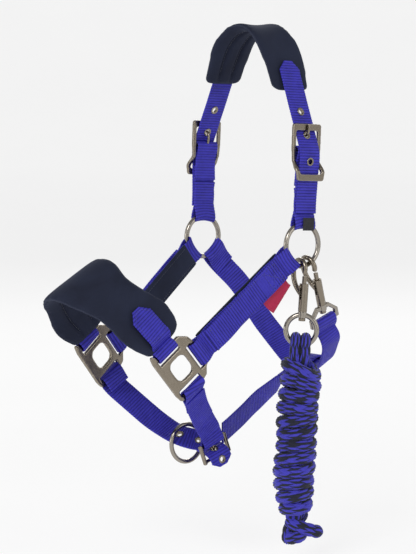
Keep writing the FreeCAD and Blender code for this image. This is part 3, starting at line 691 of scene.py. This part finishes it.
def crown_straps():
    """From the tail behind the keeper, through the buckle, to a pointed end on the pad."""
    low = [on_crown(*place) for place in ((3.7, 31), (3.9, 48), (5.0, 66), (5.9, 78), (6.3, 87))]
    run = [crown_line(along) for along in (6, 20, 44, 67)]
    on_pad = [on_crown(-28.6, 169), on_crown(-33.2, 179.5)]
    path = low + run + on_pad
    strip = Strip(path, [CROWN_SIDE * HALF] * len(path), RIB / 6)
    piece = webbing("near_crown_webbing", strip, tip_end=9 * MM)
    pierced(piece, "near_crown_eyelets")
    reach = strip.length
    outline = [(reach - 30 * MM, -0.82), (reach - 30 * MM, 0.82), (reach - 10 * MM, 0.82),
               (reach - 3 * MM, 0.3), (reach - 3 * MM, -0.3), (reach - 10 * MM, -0.82),
               (reach - 30 * MM, -0.82)]
    seams = stitched("crown_seams", [strip_run(strip, outline, PLY / 2)], THREAD)
    pair(joined(piece, seams), "crown_strap")


def nose_line():
    """Centre line and half widths of the noseband pad."""
    half = [at(59.5, -160, -85.5), at(54, -177, -65), at(40, -193, -44), at(20, -206, -32),
            at(0, -211, -27.5)]
    points = [MIDDLE + point for point in half]
    points += [point * MIRROR for point in reversed(points[:-1])]
    return points


NOSE_ACROSS = direction(0, 0.865, 0.502)


def nose_straps():
    """From the square's upper bar to a pointed end stitched on the nose pad."""
    bar = on_square(-1.5, 26)
    pad = Strip(nose_line(), [NOSE_ACROSS * HALF] * 9, 2 * MM)
    path = [bar + OUT * 0.5 * MM]
    for part, lift in ((0.025, 8.6), (0.06, 8.2), (0.115, 7.7), (0.185, 7.2)):
        outward = pad.read(pad.face, part * pad.length)
        outward = outward * math.copysign(1, outward[0]) / np.linalg.norm(outward)
        path.append(pad.read(pad.centre, part * pad.length) + outward * lift * MM)
    around = fold(bar, -FORWARD_UP, -OUT, BAR_GRIP)
    inner = on_square(-1.5, 35, -2.2)
    path = [inner] + around + path[1:]
    turning = CHEEK + NOSE_ACROSS
    turning = turning / np.linalg.norm(turning)
    across = [CHEEK * HALF] * 8 + [turning * HALF] + [NOSE_ACROSS * HALF] * 3
    strip = Strip(path, across, RIB / 6)
    piece = webbing("near_nose_webbing", strip, tip_end=9 * MM)
    reach = strip.length
    face = 1 if strip.read(strip.face, reach / 2)[0] > 0 else -1
    outline = [(reach - 34 * MM, -0.82), (reach - 34 * MM, 0.82), (reach - 10 * MM, 0.82),
               (reach - 3 * MM, 0.3), (reach - 3 * MM, -0.3), (reach - 10 * MM, -0.82),
               (reach - 34 * MM, -0.82)]
    seams = stitched("nose_seams", [strip_run(strip, outline, face * PLY / 2)], THREAD)
    pair(joined(piece, seams), "nose_strap")


BUCKLE = JOINTS["chin_tongue_lift"]
CHIN_BAR = np.array(BUCKLE["pos_m"])
CHIN_ACROSS = np.array(BUCKLE["axis"])
CHIN_UP = np.cross(np.array([1.0, 0, 0]), CHIN_ACROSS)


def on_chin(out, across, up):
    """A point beside the chin buckle's upper bar, in millimetres."""
    return CHIN_BAR + (np.array([1.0, 0, 0]) * out + CHIN_ACROSS * across + CHIN_UP * up) * MM


def chin_billet():
    """Doubled webbing from the near square down to the chin buckle."""
    top = on_square(-2.1, -22)
    low = CHIN_BAR
    down = direction(-0.3, 0.35, -0.88)
    arrive = direction(0.3, -0.45, 0.85)
    middle_across = direction(-0.05, 0.85, 0.5)
    runs = []
    for face in (1, -1):
        lift = OUT * face * (PLY / 2 + 0.05 * MM)
        runs.append([top + at(-4.5, 5.3, -8.3) + lift, top + at(-11, 13.3, -18.5) + lift,
                     low + at(12, -21, 25) + lift, low + arrive * 9 * MM + lift])
    around_top = fold(top, -down, OUT, BAR_GRIP)
    around_low = fold(low, -arrive, -OUT, 2.9 * MM)
    path = [runs[1][1]] + [runs[1][0]] + around_top + runs[0] + around_low + runs[1][:1:-1]
    across = [CHEEK * HALF] * 11 + [middle_across * HALF] + [CHIN_ACROSS * HALF] * 9 + [middle_across * HALF]
    strip = Strip(path, across, RIB / 6)
    piece = webbing("near_chin_billet_webbing", strip)
    cover_path = [runs[0][0] + OUT * 2.2 * MM, (runs[0][0] + runs[0][1]) / 2 + OUT * 1.9 * MM,
                  runs[0][1] + OUT * 1.9 * MM, runs[0][2] + OUT * 1.9 * MM]
    cover = Strip(cover_path, [CHEEK * HALF] * 3 + [middle_across * HALF], RIB / 6)
    piece = joined(piece, webbing("cover", cover, 1.6 * MM, phase=0.4))
    finished(piece, "root", "webbing_blue", "near_chin_billet")


def chin_strap():
    """From the far square through the lead ring and the chin buckle to its free end."""
    bar = on_square(-2.1, -22) * MIRROR
    cheek = CHEEK * MIRROR
    down = direction(0.3, 0.35, -0.88)
    out = OUT * MIRROR
    around = fold(bar, -down, out, BAR_GRIP)
    start = [bar + at(5, 6, -10) - out * 2.1 * MM] + around
    middle = [MIDDLE + at(-57, -115, -151), MIDDLE + at(-38, -101, -170),
              MIDDLE + at(-19, -91.5, -183), MIDDLE + at(0, -85.6, -189.4)]
    local = [(-16, -1, -2.3), (-6, -0.5, -6.2), (0, 0, -8.6), (4.6, 0, -12.2), (6.2, 0, -18), (6.0, 0, -24.5)]
    path = start + middle + [on_chin(*place) for place in local]
    level = direction(0, 0.88, 0.475)
    across = [cheek] * (len(start) + 2) + [level] * 2 + [CHIN_ACROSS] * len(local)
    strip = Strip(path, [vector * HALF for vector in across], RIB / 6)
    piece = webbing("far_chin_webbing", strip, tip_end=6 * MM)
    finished(pierced(piece, "chin_eyelets"), "root", "webbing_blue", "far_chin_strap")


def throat_strap():
    """From the far cheek ring round under the jaw to the eye of the throat snap."""
    far = RING * MIRROR
    leaves = direction(0, 0.67, -0.743)
    points = [MIDDLE + at(*place) for place in (
        (-70, 40, -49), (-57, 60, -86), (-38, 71, -112), (-14, 71, -127), (15, 67, -131),
        (42, 60, -124), (61, 51, -109))]
    snap = JOINTS["throat_snap_twist"]
    up = np.array(snap["axis"])
    bar = np.array(snap["pos_m"]) - up * (61.8 - 47) * MM
    out = direction(*(np.array([1.0, 0, 0]) - up * up[0]))
    eye_across = np.cross(up, out)
    start = far + leaves * RING_RADIUS
    around = fold(start, -leaves, np.array([-1.0, 0, 0]), RING_GRIP)
    first = [start + leaves * 22 * MM + at(1.2, 0, 0), start + leaves * 10 * MM + at(1.2, 0, 0)]
    flat = direction(0, 0.87, 0.49) * HALF
    begin = np.cross(leaves, np.array([1.0, 0, 0]))
    begin = begin * math.copysign(HALF, begin @ flat)
    last = eye_across * HALF
    near_end = bar - up * 15 * MM
    loop = fold(bar, up, -out, 3.9 * MM)[::-1]
    path = first + around + points + [near_end + out * 2 * MM] + loop
    path += [bar - up * 12 * MM - out * 1.6 * MM]
    across = [begin] * 9 + [flat] * 7 + [last] * 9
    strip = Strip(path, across, RIB / 6)
    piece = webbing("throat_webbing", strip)
    hug_ring(piece, far, leaves, begin / HALF)
    finished(piece, "root", "webbing_blue", "throat_strap")


def jowl_strap():
    """Joins the chin strap to a fold round the lowest part of the throat strap."""
    path = [MIDDLE + at(*place) for place in (
        (21, -54, -187), (13, -27, -176), (4, 6, -160), (0, 33, -147), (0, 50, -139.5))]
    level = direction(0.35, -0.42, 0.82)
    across = [direction(0.35, -0.33, 0.88), level, level, direction(0.5, -0.38, 0.72),
              direction(0.9, -0.2, 0.35)]
    lowest = MIDDLE + at(0, 69.5, -130)
    flat = direction(0, 0.87, 0.49)
    normal = np.cross(np.array([1.0, 0, 0]), flat)
    front = lowest - flat * 15 * MM
    rear = lowest + flat * 15 * MM
    turn = [front - normal * 2.2 * MM, lowest - normal * 2.5 * MM, rear - normal * 2.2 * MM,
            rear + flat * 2 * MM, rear + normal * 2.2 * MM, lowest + normal * 2.5 * MM,
            front + normal * 2.6 * MM, front + normal * 3.0 * MM - flat * 12 * MM]
    path = path + turn
    across = across + [direction(1, 0, 0)] * len(turn)
    strip = Strip(path, [vector * HALF for vector in across], RIB / 6)
    finished(webbing("jowl_webbing", strip), "root", "webbing_blue", "jowl_strap")


def labels():
    """A blank red side tab and a blank dark size label, both woven."""
    tab_points = [on_square(126, -9, 1.8), on_square(126, -13, 0.6), on_square(126, -18, 0.6),
                  on_square(127, -24, 2.2)]
    tab = Strip(tab_points, [CHEEK * 17 * MM] * 4, 0.6 * MM)
    low = 6.5 * MM
    high = tab.length - MM
    corners = [(low, -0.93), (high, -0.93), (high, 0.93), (low, 0.93)]
    seam = strip_run(tab, corners, 0.5 * MM)
    piece = cloth_label("side_tab_weave", tab, 1.0 * MM, RED)
    stitches = stitched("tab_seam", [seam], RED_THREAD, 1.6 * MM, 0.2 * MM)
    finished(joined(piece, stitches), "root", "tab_red", "side_tab")
    base = [on_crown(6.0, 14.5), on_crown(6.15, 20.8), on_crown(6.0, 27)]
    label = Strip([point + CROWN_SIDE * 2 * MM for point in base], [CROWN_SIDE * 7 * MM] * 3, 0.6 * MM)
    piece = cloth_label("size_label_weave", label, 0.9 * MM, BLACK)
    finished(piece, "root", "label_dark", "size_label")


def cloth_label(name, strip, thick, material):
    """A thin woven label with soft edges."""
    shape = section(12, 0.04)
    height = thick / 2 * (1 - 0.12 * np.abs(np.sin(strip.along * math.pi / (1.1 * MM))))
    places = (strip.centre[:, None] + strip.half[:, None] * shape[None, :, :1]
              + strip.face[:, None] * (shape[:, 1] * height[:, None])[..., None])
    columns = len(shape)
    attributes = {
        "along": np.repeat(strip.along, columns),
        "side": np.tile(shape[:, 0], len(strip.along)) * lengths(strip.half)[0, 0],
        "groove": np.zeros(len(strip.along) * columns),
    }
    faces = tube_faces(len(strip.along), columns)
    return mesh_object(name, places.reshape(-1, 3), faces, material, attributes)


# ---- pads ----


SHELL_VOXEL = 3 * MM
SWELL_LIMIT = 2.6 * MM
PRESSURE = 4.0
SETTLING_STEPS = 20
CHANNEL_DEPTH = 2.8 * MM
CHANNEL_REACH = 2.3 * MM
BINDING_RADIUS = 0.9 * MM
CORNER_RADIUS = 5.5 * MM


def nearest_tree(points):
    """A search tree that finds the nearest of the points."""
    tree = KDTree(len(points))
    for index, point in enumerate(points):
        tree.insert(Vector(point), index)
    tree.balance()
    return tree


def between(points, marks, wanted):
    """Points read off a line of points at the wanted marks."""
    return np.stack([np.interp(wanted, marks, points[:, k]) for k in range(3)], 1)


def evened(outline, rounds):
    """Evens out a closed outline."""
    for _ in range(rounds):
        outline = (np.roll(outline, 1, axis=0) + 2 * outline + np.roll(outline, -1, axis=0)) / 4
    return outline


def pad_shell(name, strip, widths, thick, arch):
    """A closed, crowned shell over a strip; widths gives half the width along it."""
    columns = 48
    angle = np.linspace(0, 2 * math.pi, columns, endpoint=False)
    side = np.sign(np.cos(angle)) * np.abs(np.cos(angle)) ** 0.55
    lift = np.sign(np.sin(angle)) * np.abs(np.sin(angle)) ** 0.5
    ends = np.minimum(strip.along, strip.length - strip.along)
    close = np.sqrt(np.clip(ends / (4 * MM), 0.01, 1))
    unit_half = strip.half / lengths(strip.half)
    raised = arch(strip.along / strip.length)[:, None] * (side**2)[None, :]
    places = (strip.centre[:, None]
              + unit_half[:, None] * (widths[:, None] * side)[..., None]
              + strip.face[:, None] * (lift * close[:, None] * thick / 2 + raised)[..., None])
    return mesh_object(name, places.reshape(-1, 3), tube_faces(len(strip.along), columns), NAVY)


def inflate(piece, seam):
    """Swells a shell like stuffed fabric; places near the seam points stay put."""
    remesh = piece.modifiers.new("Remesh", "REMESH")
    remesh.mode = "VOXEL"
    remesh.voxel_size = SHELL_VOXEL
    apply_modifiers(piece)
    mesh = piece.data
    start = np.array([vertex.co for vertex in mesh.vertices])
    tree = nearest_tree(seam)
    held = piece.vertex_groups.new(name="held")
    for vertex in mesh.vertices:
        distance = tree.find(vertex.co)[2]
        held.add([vertex.index], max(0.0, min(1.0, 1.6 - distance / (5 * MM))), "REPLACE")
    cloth = piece.modifiers.new("Cloth", "CLOTH")
    settings = cloth.settings
    settings.quality = 6
    settings.mass = 0.25
    settings.tension_stiffness = 25
    settings.compression_stiffness = 12
    settings.shear_stiffness = 8
    settings.bending_stiffness = 1.2
    settings.use_pressure = True
    settings.uniform_pressure_force = PRESSURE
    settings.vertex_group_mass = "held"
    settings.effector_weights.gravity = 0
    for step in range(1, SETTLING_STEPS + 1):
        bpy.context.scene.frame_set(step)
    ready = bpy.context.evaluated_depsgraph_get()
    shaped = np.array([vertex.co for vertex in piece.evaluated_get(ready).data.vertices])
    piece.modifiers.clear()
    travel = shaped - start
    reach = lengths(travel) + 1e-9
    travel = travel * np.minimum(reach, SWELL_LIMIT) / reach
    for vertex, place in zip(mesh.vertices, start + travel):
        vertex.co = place
    bpy.context.scene.frame_set(1)
    smooth = piece.modifiers.new("Fine", "SUBSURF")
    smooth.levels = 1
    apply_modifiers(piece)
    piece.data.polygons.foreach_set("use_smooth", [True] * len(piece.data.polygons))
    return piece


def edge_points(strip, widths, arch, side, count):
    """The rim of a pad on one side, as points."""
    unit_half = strip.half / lengths(strip.half)
    rim = (strip.centre + unit_half * (widths * side)[:, None]
           + strip.face * arch(strip.along / strip.length)[:, None])
    pick = np.linspace(0, len(rim) - 1, count)
    return between(rim, np.arange(len(rim)), pick)


def quilted(piece, strip, widths, channels, inner):
    """Presses sewn channels into the lining; channels are places across from -1 to 1."""
    unit_half = strip.half / lengths(strip.half)
    tree = nearest_tree(strip.centre)

    def change(places):
        for index, place in enumerate(places):
            nearest = tree.find(Vector(place))[1]
            offset = place - strip.centre[nearest]
            lift = offset @ strip.face[nearest] * inner
            if lift <= 0:
                continue
            ends = min(nearest, len(strip.centre) - 1 - nearest) / len(strip.centre)
            for channel in channels:
                gap = offset @ unit_half[nearest] - channel * widths[nearest]
                press = CHANNEL_DEPTH * math.exp(-((gap / CHANNEL_REACH) ** 2)) * min(1.0, ends * 14)
                places[index] = places[index] - strip.face[nearest] * inner * press
        return places
    return moved_vertices(piece, change)


def piping(name, points):
    """A thin bound edge along points that close on themselves."""
    points = np.array(points)
    after = np.roll(points, -1, axis=0)
    before = np.roll(points, 1, axis=0)
    tangent = after - before
    tangent = tangent / lengths(tangent)
    up = np.cross(tangent, np.array([0.3, 0.5, 0.8]))
    up = up / lengths(up)
    side = np.cross(tangent, up)
    columns = 10
    angle = np.linspace(0, 2 * math.pi, columns, endpoint=False)
    ring = (up[:, None] * np.cos(angle)[None, :, None] + side[:, None] * np.sin(angle)[None, :, None])
    places = points[:, None] + ring * BINDING_RADIUS
    return mesh_object(name, places.reshape(-1, 3), tube_faces(len(points), columns, True), BINDING)


def rim(strip, widths, arch):
    """The whole outline of a pad, with rounded corners, as a closed list of points."""
    near = edge_points(strip, widths, arch, 1.0, 160)
    far = edge_points(strip, widths, arch, -1.0, 160)
    outline = np.concatenate([near, far[::-1]])
    outline = evened(outline, 5)
    closed = np.concatenate([outline, outline[:1]])
    steps = travelled(closed)
    places = np.linspace(0, steps[-1], 420, endpoint=False)
    return between(closed, steps, places)


def settled(shell, outline):
    """Lays a closed outline on the nearest places of a shell, evened out."""
    laid = np.array([shell.closest_point_on_mesh(Vector(point))[1] for point in outline])
    return evened(laid, 4)


def padded_piece(name, strip, widths, thick, arch, inner, channels, nodes):
    """A stuffed pad: shell, swelling, quilted lining, bound edge and its stitches."""
    shell = pad_shell(name, strip, widths, thick, arch)
    outline = rim(strip, widths, arch)
    inflate(shell, outline)
    quilted(shell, strip, widths, channels, inner)
    binding = piping(name + "_binding", settled(shell, outline))
    runs = []
    unit_half = strip.half / lengths(strip.half)
    for channel in channels:
        run = []
        for index in range(6, len(strip.along) - 6, 3):
            lifted = strip.face[index] * inner * thick * 0.22
            point = strip.centre[index] + unit_half[index] * channel * widths[index] + lifted
            run.append((point, strip.face[index] * inner))
        runs.append(run)
    seams = stitched(name + "_seams", runs, NAVY_THREAD)
    finished(joined(shell, binding, seams), "root", "pad_navy", *nodes)


def corner_round(strip):
    """Narrows a pad near its ends so that its corners are round."""
    ends = np.minimum(strip.along, strip.length - strip.along)
    share = np.clip(1 - ends / CORNER_RADIUS, 0, 1)
    return 0.62 + 0.38 * np.sqrt(1 - share**2)


def nose_pad():
    points = nose_line()
    for end, neighbour in ((0, 1), (-1, -2)):
        outward = points[end] - points[neighbour]
        points[end] = points[end] + outward / np.linalg.norm(outward) * 5.5 * MM
    strip = Strip(points, [NOSE_ACROSS * HALF] * len(points), 2 * MM)
    marks = np.array([0, 2, 4, 5, 6, 8, 10, 11, 12, 14, 16]) / 16
    rear = np.array([26, 31.5, 24, 23.7, 31, 35, 31, 23.7, 24, 31.5, 26]) * MM
    front = np.array([16, 28, 30, 31.5, 33.5, 35, 33.5, 31.5, 30, 28, 16]) * MM
    places = strip.along / strip.length
    rear = spline(marks, rear[:, None], places)
    front = spline(marks, front[:, None], places)
    widths = (rear + front)[:, 0] / 2 * corner_round(strip)
    strip.centre = strip.centre + strip.half / HALF * (rear - front) / 2
    inner = 1 if strip.read(strip.face, strip.length / 2)[2] < 0 else -1
    padded_piece("nose_pad_fabric", strip, widths, 7.6 * MM, np.zeros_like,
                 inner, (-0.36, 0.30), ("nose_pad_cover", "nose_pad_foam"))


def crown_pad():
    half = [at(51.2, 8.5, 150), at(42.6, 9, 171), at(32.5, 8, 190), at(18, 7, 205), at(0, 6, 211)]
    points = [MIDDLE + point for point in half]
    far = [point * MIRROR for point in reversed(points[:-1])]
    points += [point + at(0, -7, 0) * share for point, share in zip(far, (0.5, 0.8, 1.0, 1.0))]
    points[-1] = points[-1] + at(1.7, 0, 5.5)
    strip = Strip(points, [np.array([0, HALF, 0])] * len(points), 2 * MM)
    marks = np.linspace(0, 1, 9)
    reach = np.array([21.5, 23.5, 25, 24.5, 23.5, 24.5, 25, 23.5, 21.5]) * MM
    places = strip.along / strip.length
    widths = spline(marks, reach[:, None], places)[:, 0] * corner_round(strip)
    inner = 1 if strip.read(strip.face, strip.length / 2)[2] < 0 else -1

    def arch(part):
        return -inner * 3.2 * MM * np.sin(np.pi * part) ** 2
    padded_piece("crown_pad_fabric", strip, widths, 7.6 * MM, arch, inner, (-0.34, 0.34),
                 ("crown_pad_cover", "crown_pad_foam"))


# ---- rope ----


COLUMNS = 16
ACROSS_STITCH = 4
STITCH = 8.0 * MM


def braid(name, points, radius):
    """A braided cord along points: columns of raised, slanted stitches in two tones."""
    strip = Strip(points, [[0.31, 0.27, 0.91]] * len(points), STITCH / 9)
    count = len(strip.along)
    up = np.zeros((count, 3))
    up[0] = np.cross(strip.tangent[0], direction(0.2, 0.9, 0.4))
    up[0] /= np.linalg.norm(up[0])
    for i in range(1, count):
        turned = up[i - 1] - strip.tangent[i] * (up[i - 1] @ strip.tangent[i])
        up[i] = turned / np.linalg.norm(turned)
    side = np.cross(strip.tangent, up)
    columns = COLUMNS * ACROSS_STITCH
    place = np.arange(columns) / ACROSS_STITCH
    column = np.floor(place)
    within = place - column
    slant = np.where(column % 2 == 0, 0.5, -0.5)
    run = strip.along[:, None] / STITCH + 0.5 * (column % 2) + slant * within
    stitch = np.floor(run)
    rise = np.sin(np.pi * (run - stitch)) ** 0.5 * (0.35 + 0.65 * np.sin(np.pi * (within + 0.12)))
    chance = np.abs(np.sin(stitch * 12.99 + column * 78.23) * 437.58) % 1
    tone = (stitch + column + (chance > 0.8)) % 2
    angle = 2 * math.pi * place / COLUMNS
    ends = np.minimum(strip.along, strip.length - strip.along)
    close = np.sqrt(np.clip(1 - np.clip(1 - ends / radius, 0, 1) ** 2, 0.03, 1))
    reach = radius * (0.84 + 0.17 * rise) * close[:, None]
    places = (strip.centre[:, None] + up[:, None] * (np.cos(angle) * reach)[..., None]
              + side[:, None] * (np.sin(angle) * reach)[..., None])
    # crown: stitch height, which the rope material turns into painted shade between the stitches
    attributes = {"tone": tone.ravel(), "crown": rise.ravel()}
    return mesh_object(name, places.reshape(-1, 3), tube_faces(count, columns), ROPE, attributes)


def lead_rope():
    """The rope's eye on the swivel, its wrapped hank, and the knotted end."""
    swing = JOINTS["rope_swing"]
    wire = np.array(swing["pos_m"])
    along = np.array(swing["axis"])
    upward = np.array(JOINTS["lead_swivel_turn"]["axis"])
    facing = np.cross(along, upward)

    def place(right, front, up):
        return wire + (along * right + facing * front + upward * up) * MM
    strand = 5.3
    strands = []
    for right in (-4.9, 4.9):
        eye = [place(right * 0.6, -4, -20), place(right, -7.8, -10)]
        for angle in range(190, -11, -25):
            turn = math.radians(angle)
            grip = 2.6 + strand
            eye.append(place(right, grip * math.cos(turn), grip * math.sin(turn)))
        eye += [place(right, 8.0, -9), place(right * 0.6, 5, -20)]
        strands.append(braid(f"eye_{right:.0f}", eye, strand * MM))
    turns = 12.3
    top = -15.5
    pitch = 12.3
    wraps = []
    per_turn = 14
    steps = round(turns * per_turn)
    for step in range(steps + 1):
        part = step / steps
        turn = step / per_turn * 2 * math.pi + math.radians(215)
        sway = 1 + 0.045 * math.sin(step * 0.37) + 0.03 * math.sin(step * 0.113 + 1)
        narrow = 1 - 0.38 * max(0.0, part - 0.84) / 0.16
        reach = 14.0 * sway * min(1.0, 0.82 + step / 70) * narrow
        slant = 8.5 * max(0.0, 1 - step / per_turn / 4.5)
        height = top - pitch * step / per_turn + 0.9 * math.sin(step * 0.61) - slant * math.cos(turn)
        lean = 2.6 * (1 - part) + 5.5 * part**4
        wraps.append(place(reach * math.cos(turn) + lean, reach * math.sin(turn), height))
    low = top - pitch * turns
    wraps += [place(9, -6, low - 5), place(5, -3, low - 11)]
    rope = braid("lead_rope_cord", wraps, 6.95 * MM)
    core = braid("core", [place(0, 0, -14), place(1.5, 0, -90), place(5, 0, low - 14)], 8.2 * MM)
    loop = [place(4, 0, low - 8), place(1, -3, low - 15)]
    for angle in range(180, 541, 30):
        turn = math.radians(angle)
        loop.append(place(6.5 + 6.2 * math.cos(turn), 5 * math.sin(turn), low - 22 + 1.8 * math.cos(turn)))
    knot = braid("knot", loop, 6.4 * MM)
    tail = braid("tail", [place(-3, 1, low - 5), place(5, 4, low - 9), place(14, 5, low - 12),
                          place(23, 4, low - 14), place(34, 2, low - 16)], 6.6 * MM)
    finished(joined(rope, core, knot, tail, *strands), "lead_rope", "rope_cord", "lead_rope")


# ---- hardware ----


def soften(node, voxel, rounds, material=GUNMETAL):
    """Gives a casting the soft edges of a polished, plated part."""
    item = frame["nodes"][node]
    item.data.materials.clear()
    item.data.materials.append(material)
    item.data.polygons.foreach_set("use_smooth", [True] * len(item.data.polygons))
    item.data.polygons.foreach_set("material_index", [0] * len(item.data.polygons))
    remesh = item.modifiers.new("Remesh", "REMESH")
    remesh.mode = "VOXEL"
    remesh.voxel_size = voxel
    remesh.use_smooth_shade = True
    smooth = item.modifiers.new("Smooth", "SMOOTH")
    smooth.factor = 0.5
    smooth.iterations = rounds


def bolt_spring(snap, turning):
    """The coil under a snap's bolt, built at one fixed length from its seat."""
    axis = np.array(JOINTS[turning]["axis"])
    seat = np.array(JOINTS[turning]["pos_m"]) + axis * 8.2 * MM
    side = np.cross(axis, direction(0.31, 0.52, 0.79))
    side = side / np.linalg.norm(side)
    front = np.cross(axis, side)
    height = 15.4 * MM
    points = []
    for step in range(98):
        turn = step * math.pi / 7
        offset = side * math.cos(turn) + front * math.sin(turn)
        points.append(seat + offset * 1.75 * MM + axis * height * step / 97)
    strip = Strip(points, [axis * 0.3 * MM] * len(points), 0.5 * MM)
    columns = 8
    angle = np.linspace(0, 2 * math.pi, columns, endpoint=False)
    places = (strip.centre[:, None] + strip.half[:, None] * np.cos(angle)[None, :, None]
              + strip.face[:, None] * (0.3 * MM * np.sin(angle))[None, :, None])
    faces = tube_faces(len(strip.along), columns)
    coil = mesh_object(snap + "_coil", places.reshape(-1, 3), faces, SPRING)
    finished(coil, snap, "spring_steel", snap + "_spring")
    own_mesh(coil)


def hardware():
    for side in ("near_", "far_"):
        soften(side + "square", 0.45 * MM, 26)
        soften(side + "buckle_frame", 0.40 * MM, 14)
        soften(side + "buckle_tongue", 0.25 * MM, 3)
        soften(side + "crown_eyelets", 0.22 * MM, 3)
        soften(side + "cheek_ring", 0.40 * MM, 3, WIRE)
    soften("chin_ring", 0.40 * MM, 3, WIRE)
    soften("chin_eyelets", 0.22 * MM, 3)
    soften("chin_buckle_frame", 0.35 * MM, 12)
    soften("chin_buckle_tongue", 0.25 * MM, 3)
    for snap in ("lead_", "throat_"):
        soften(snap + "snap_body", 0.26 * MM, 8)
        soften(snap + "snap_bolt", 0.26 * MM, 3)
        soften(snap + "swivel_eye", 0.26 * MM, 2, WIRE)
    bolt_spring("lead_snap", "lead_swivel_turn")
    bolt_spring("throat_snap", "throat_snap_twist")


# ---- stage ----


def area_light(name, offset, size, power):
    """A round lamp that stands off from the halter's middle and faces it."""
    place = MIDDLE + np.array(offset)
    data = bpy.data.lights.new(name, "AREA")
    data.shape = "DISK"
    data.size = size
    data.energy = power
    light = bpy.data.objects.new(name, data)
    light.location = place
    light.rotation_euler = (Vector(MIDDLE) - Vector(place)).to_track_quat("-Z", "Y").to_euler()
    bpy.context.scene.collection.objects.link(light)


def stage():
    """A pale floor that curves up into a round backdrop, wide enough to hold every camera."""
    low = min(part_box("lead_rope")[0].z, 0) - 0.02
    flat, bend = 9.0, 3.0
    rings = [(0.01, 0), (1.0, 0), (flat, 0)]
    for angle in np.radians(range(10, 91, 10)):
        rings.append((flat + bend * math.sin(angle), bend - bend * math.cos(angle)))
    rings += [(flat + bend, 8.0)]
    columns = 72
    places = []
    for reach, height in rings:
        for k in range(columns):
            turn = 2 * math.pi * k / columns
            places.append((reach * math.cos(turn), reach * math.sin(turn), low + height))
    paint = Paint("stage_paint", roughness=1.0)
    paint.shader.inputs["Specular IOR Level"].default_value = 0.0
    paint.shader.inputs["Emission Color"].default_value = rgb(1, 1, 1)
    paint.shader.inputs["Emission Strength"].default_value = 0.70
    cloudy = paint.range(paint.noise(3), 0.3, 0.7)
    paint.color(paint.mix(cloudy, rgb(0.30, 0.30, 0.30), rgb(0.31, 0.31, 0.31)))
    faces = tube_faces(len(rings), columns)[:-1]
    floor = mesh_object("floor", places, faces, paint.material)
    floor.data.flip_normals()
    world = bpy.data.worlds.new("studio")
    world.use_nodes = True
    world.node_tree.nodes["Background"].inputs["Color"].default_value = rgb(1, 1, 1)
    world.node_tree.nodes["Background"].inputs["Strength"].default_value = 0.35
    bpy.context.scene.world = world
    area_light("key", [1.5, -2.3, 2.0], 1.2, 34)
    area_light("fill", [2.6, 0.8, 0.6], 1.6, 9)
    area_light("rim", [-1.8, 1.6, 1.6], 1.0, 16)
    area_light("front", [-0.9, -2.8, 0.3], 1.2, 10)
    for turn in (8, 78, 118, 200, 265, 320):
        dark_card(turn)


def dark_card(turn):
    """A narrow dark card that only reflections see, so that metal shows its form."""
    angle = math.radians(turn)
    reach = np.array([math.sin(angle), -math.cos(angle), 0]) * 2.9
    side = np.array([math.cos(angle), math.sin(angle), 0]) * 0.42
    middle = MIDDLE + reach
    rise = np.array([0, 0, 1.3])
    paint = Paint("card_paint", roughness=1.0)
    paint.color(rgb(0.01, 0.01, 0.01))
    paint.shader.inputs["Specular IOR Level"].default_value = 0.0
    corners = [middle - side - rise, middle + side - rise, middle + side + rise, middle - side + rise]
    card = mesh_object(f"card_{turn}", corners, [(0, 1, 2, 3)], paint.material)
    card.visible_camera = False
    card.visible_diffuse = False
    card.visible_shadow = False
    card.visible_transmission = False


def camera():
    """The photograph's view: from the nose side of the near cheek, a little above level."""
    azimuth = math.radians(51)
    elevation = math.radians(4.2)
    distance = 2.5
    back = np.array([math.sin(azimuth) * math.cos(elevation),
                     -math.cos(azimuth) * math.cos(elevation), math.sin(elevation)])
    width = 0.416
    data = bpy.data.cameras.new("camera")
    data.sensor_fit = "HORIZONTAL"
    data.lens = data.sensor_width * distance / width
    data.shift_x = -0.0432 / width
    data.shift_y = -0.0365 / width
    view = bpy.data.objects.new("camera", data)
    view.location = MIDDLE + back * distance
    view.rotation_euler = Vector(-back).to_track_quat("-Z", "Y").to_euler()
    bpy.context.scene.collection.objects.link(view)
    bpy.context.scene.camera = view


bpy.context.scene.view_settings.view_transform = "Standard"
hardware()
billets()
cheek_straps()
crown_straps()
nose_straps()
chin_billet()
chin_strap()
throat_strap()
jowl_strap()
labels()
nose_pad()
crown_pad()
lead_rope()
stage()
camera()
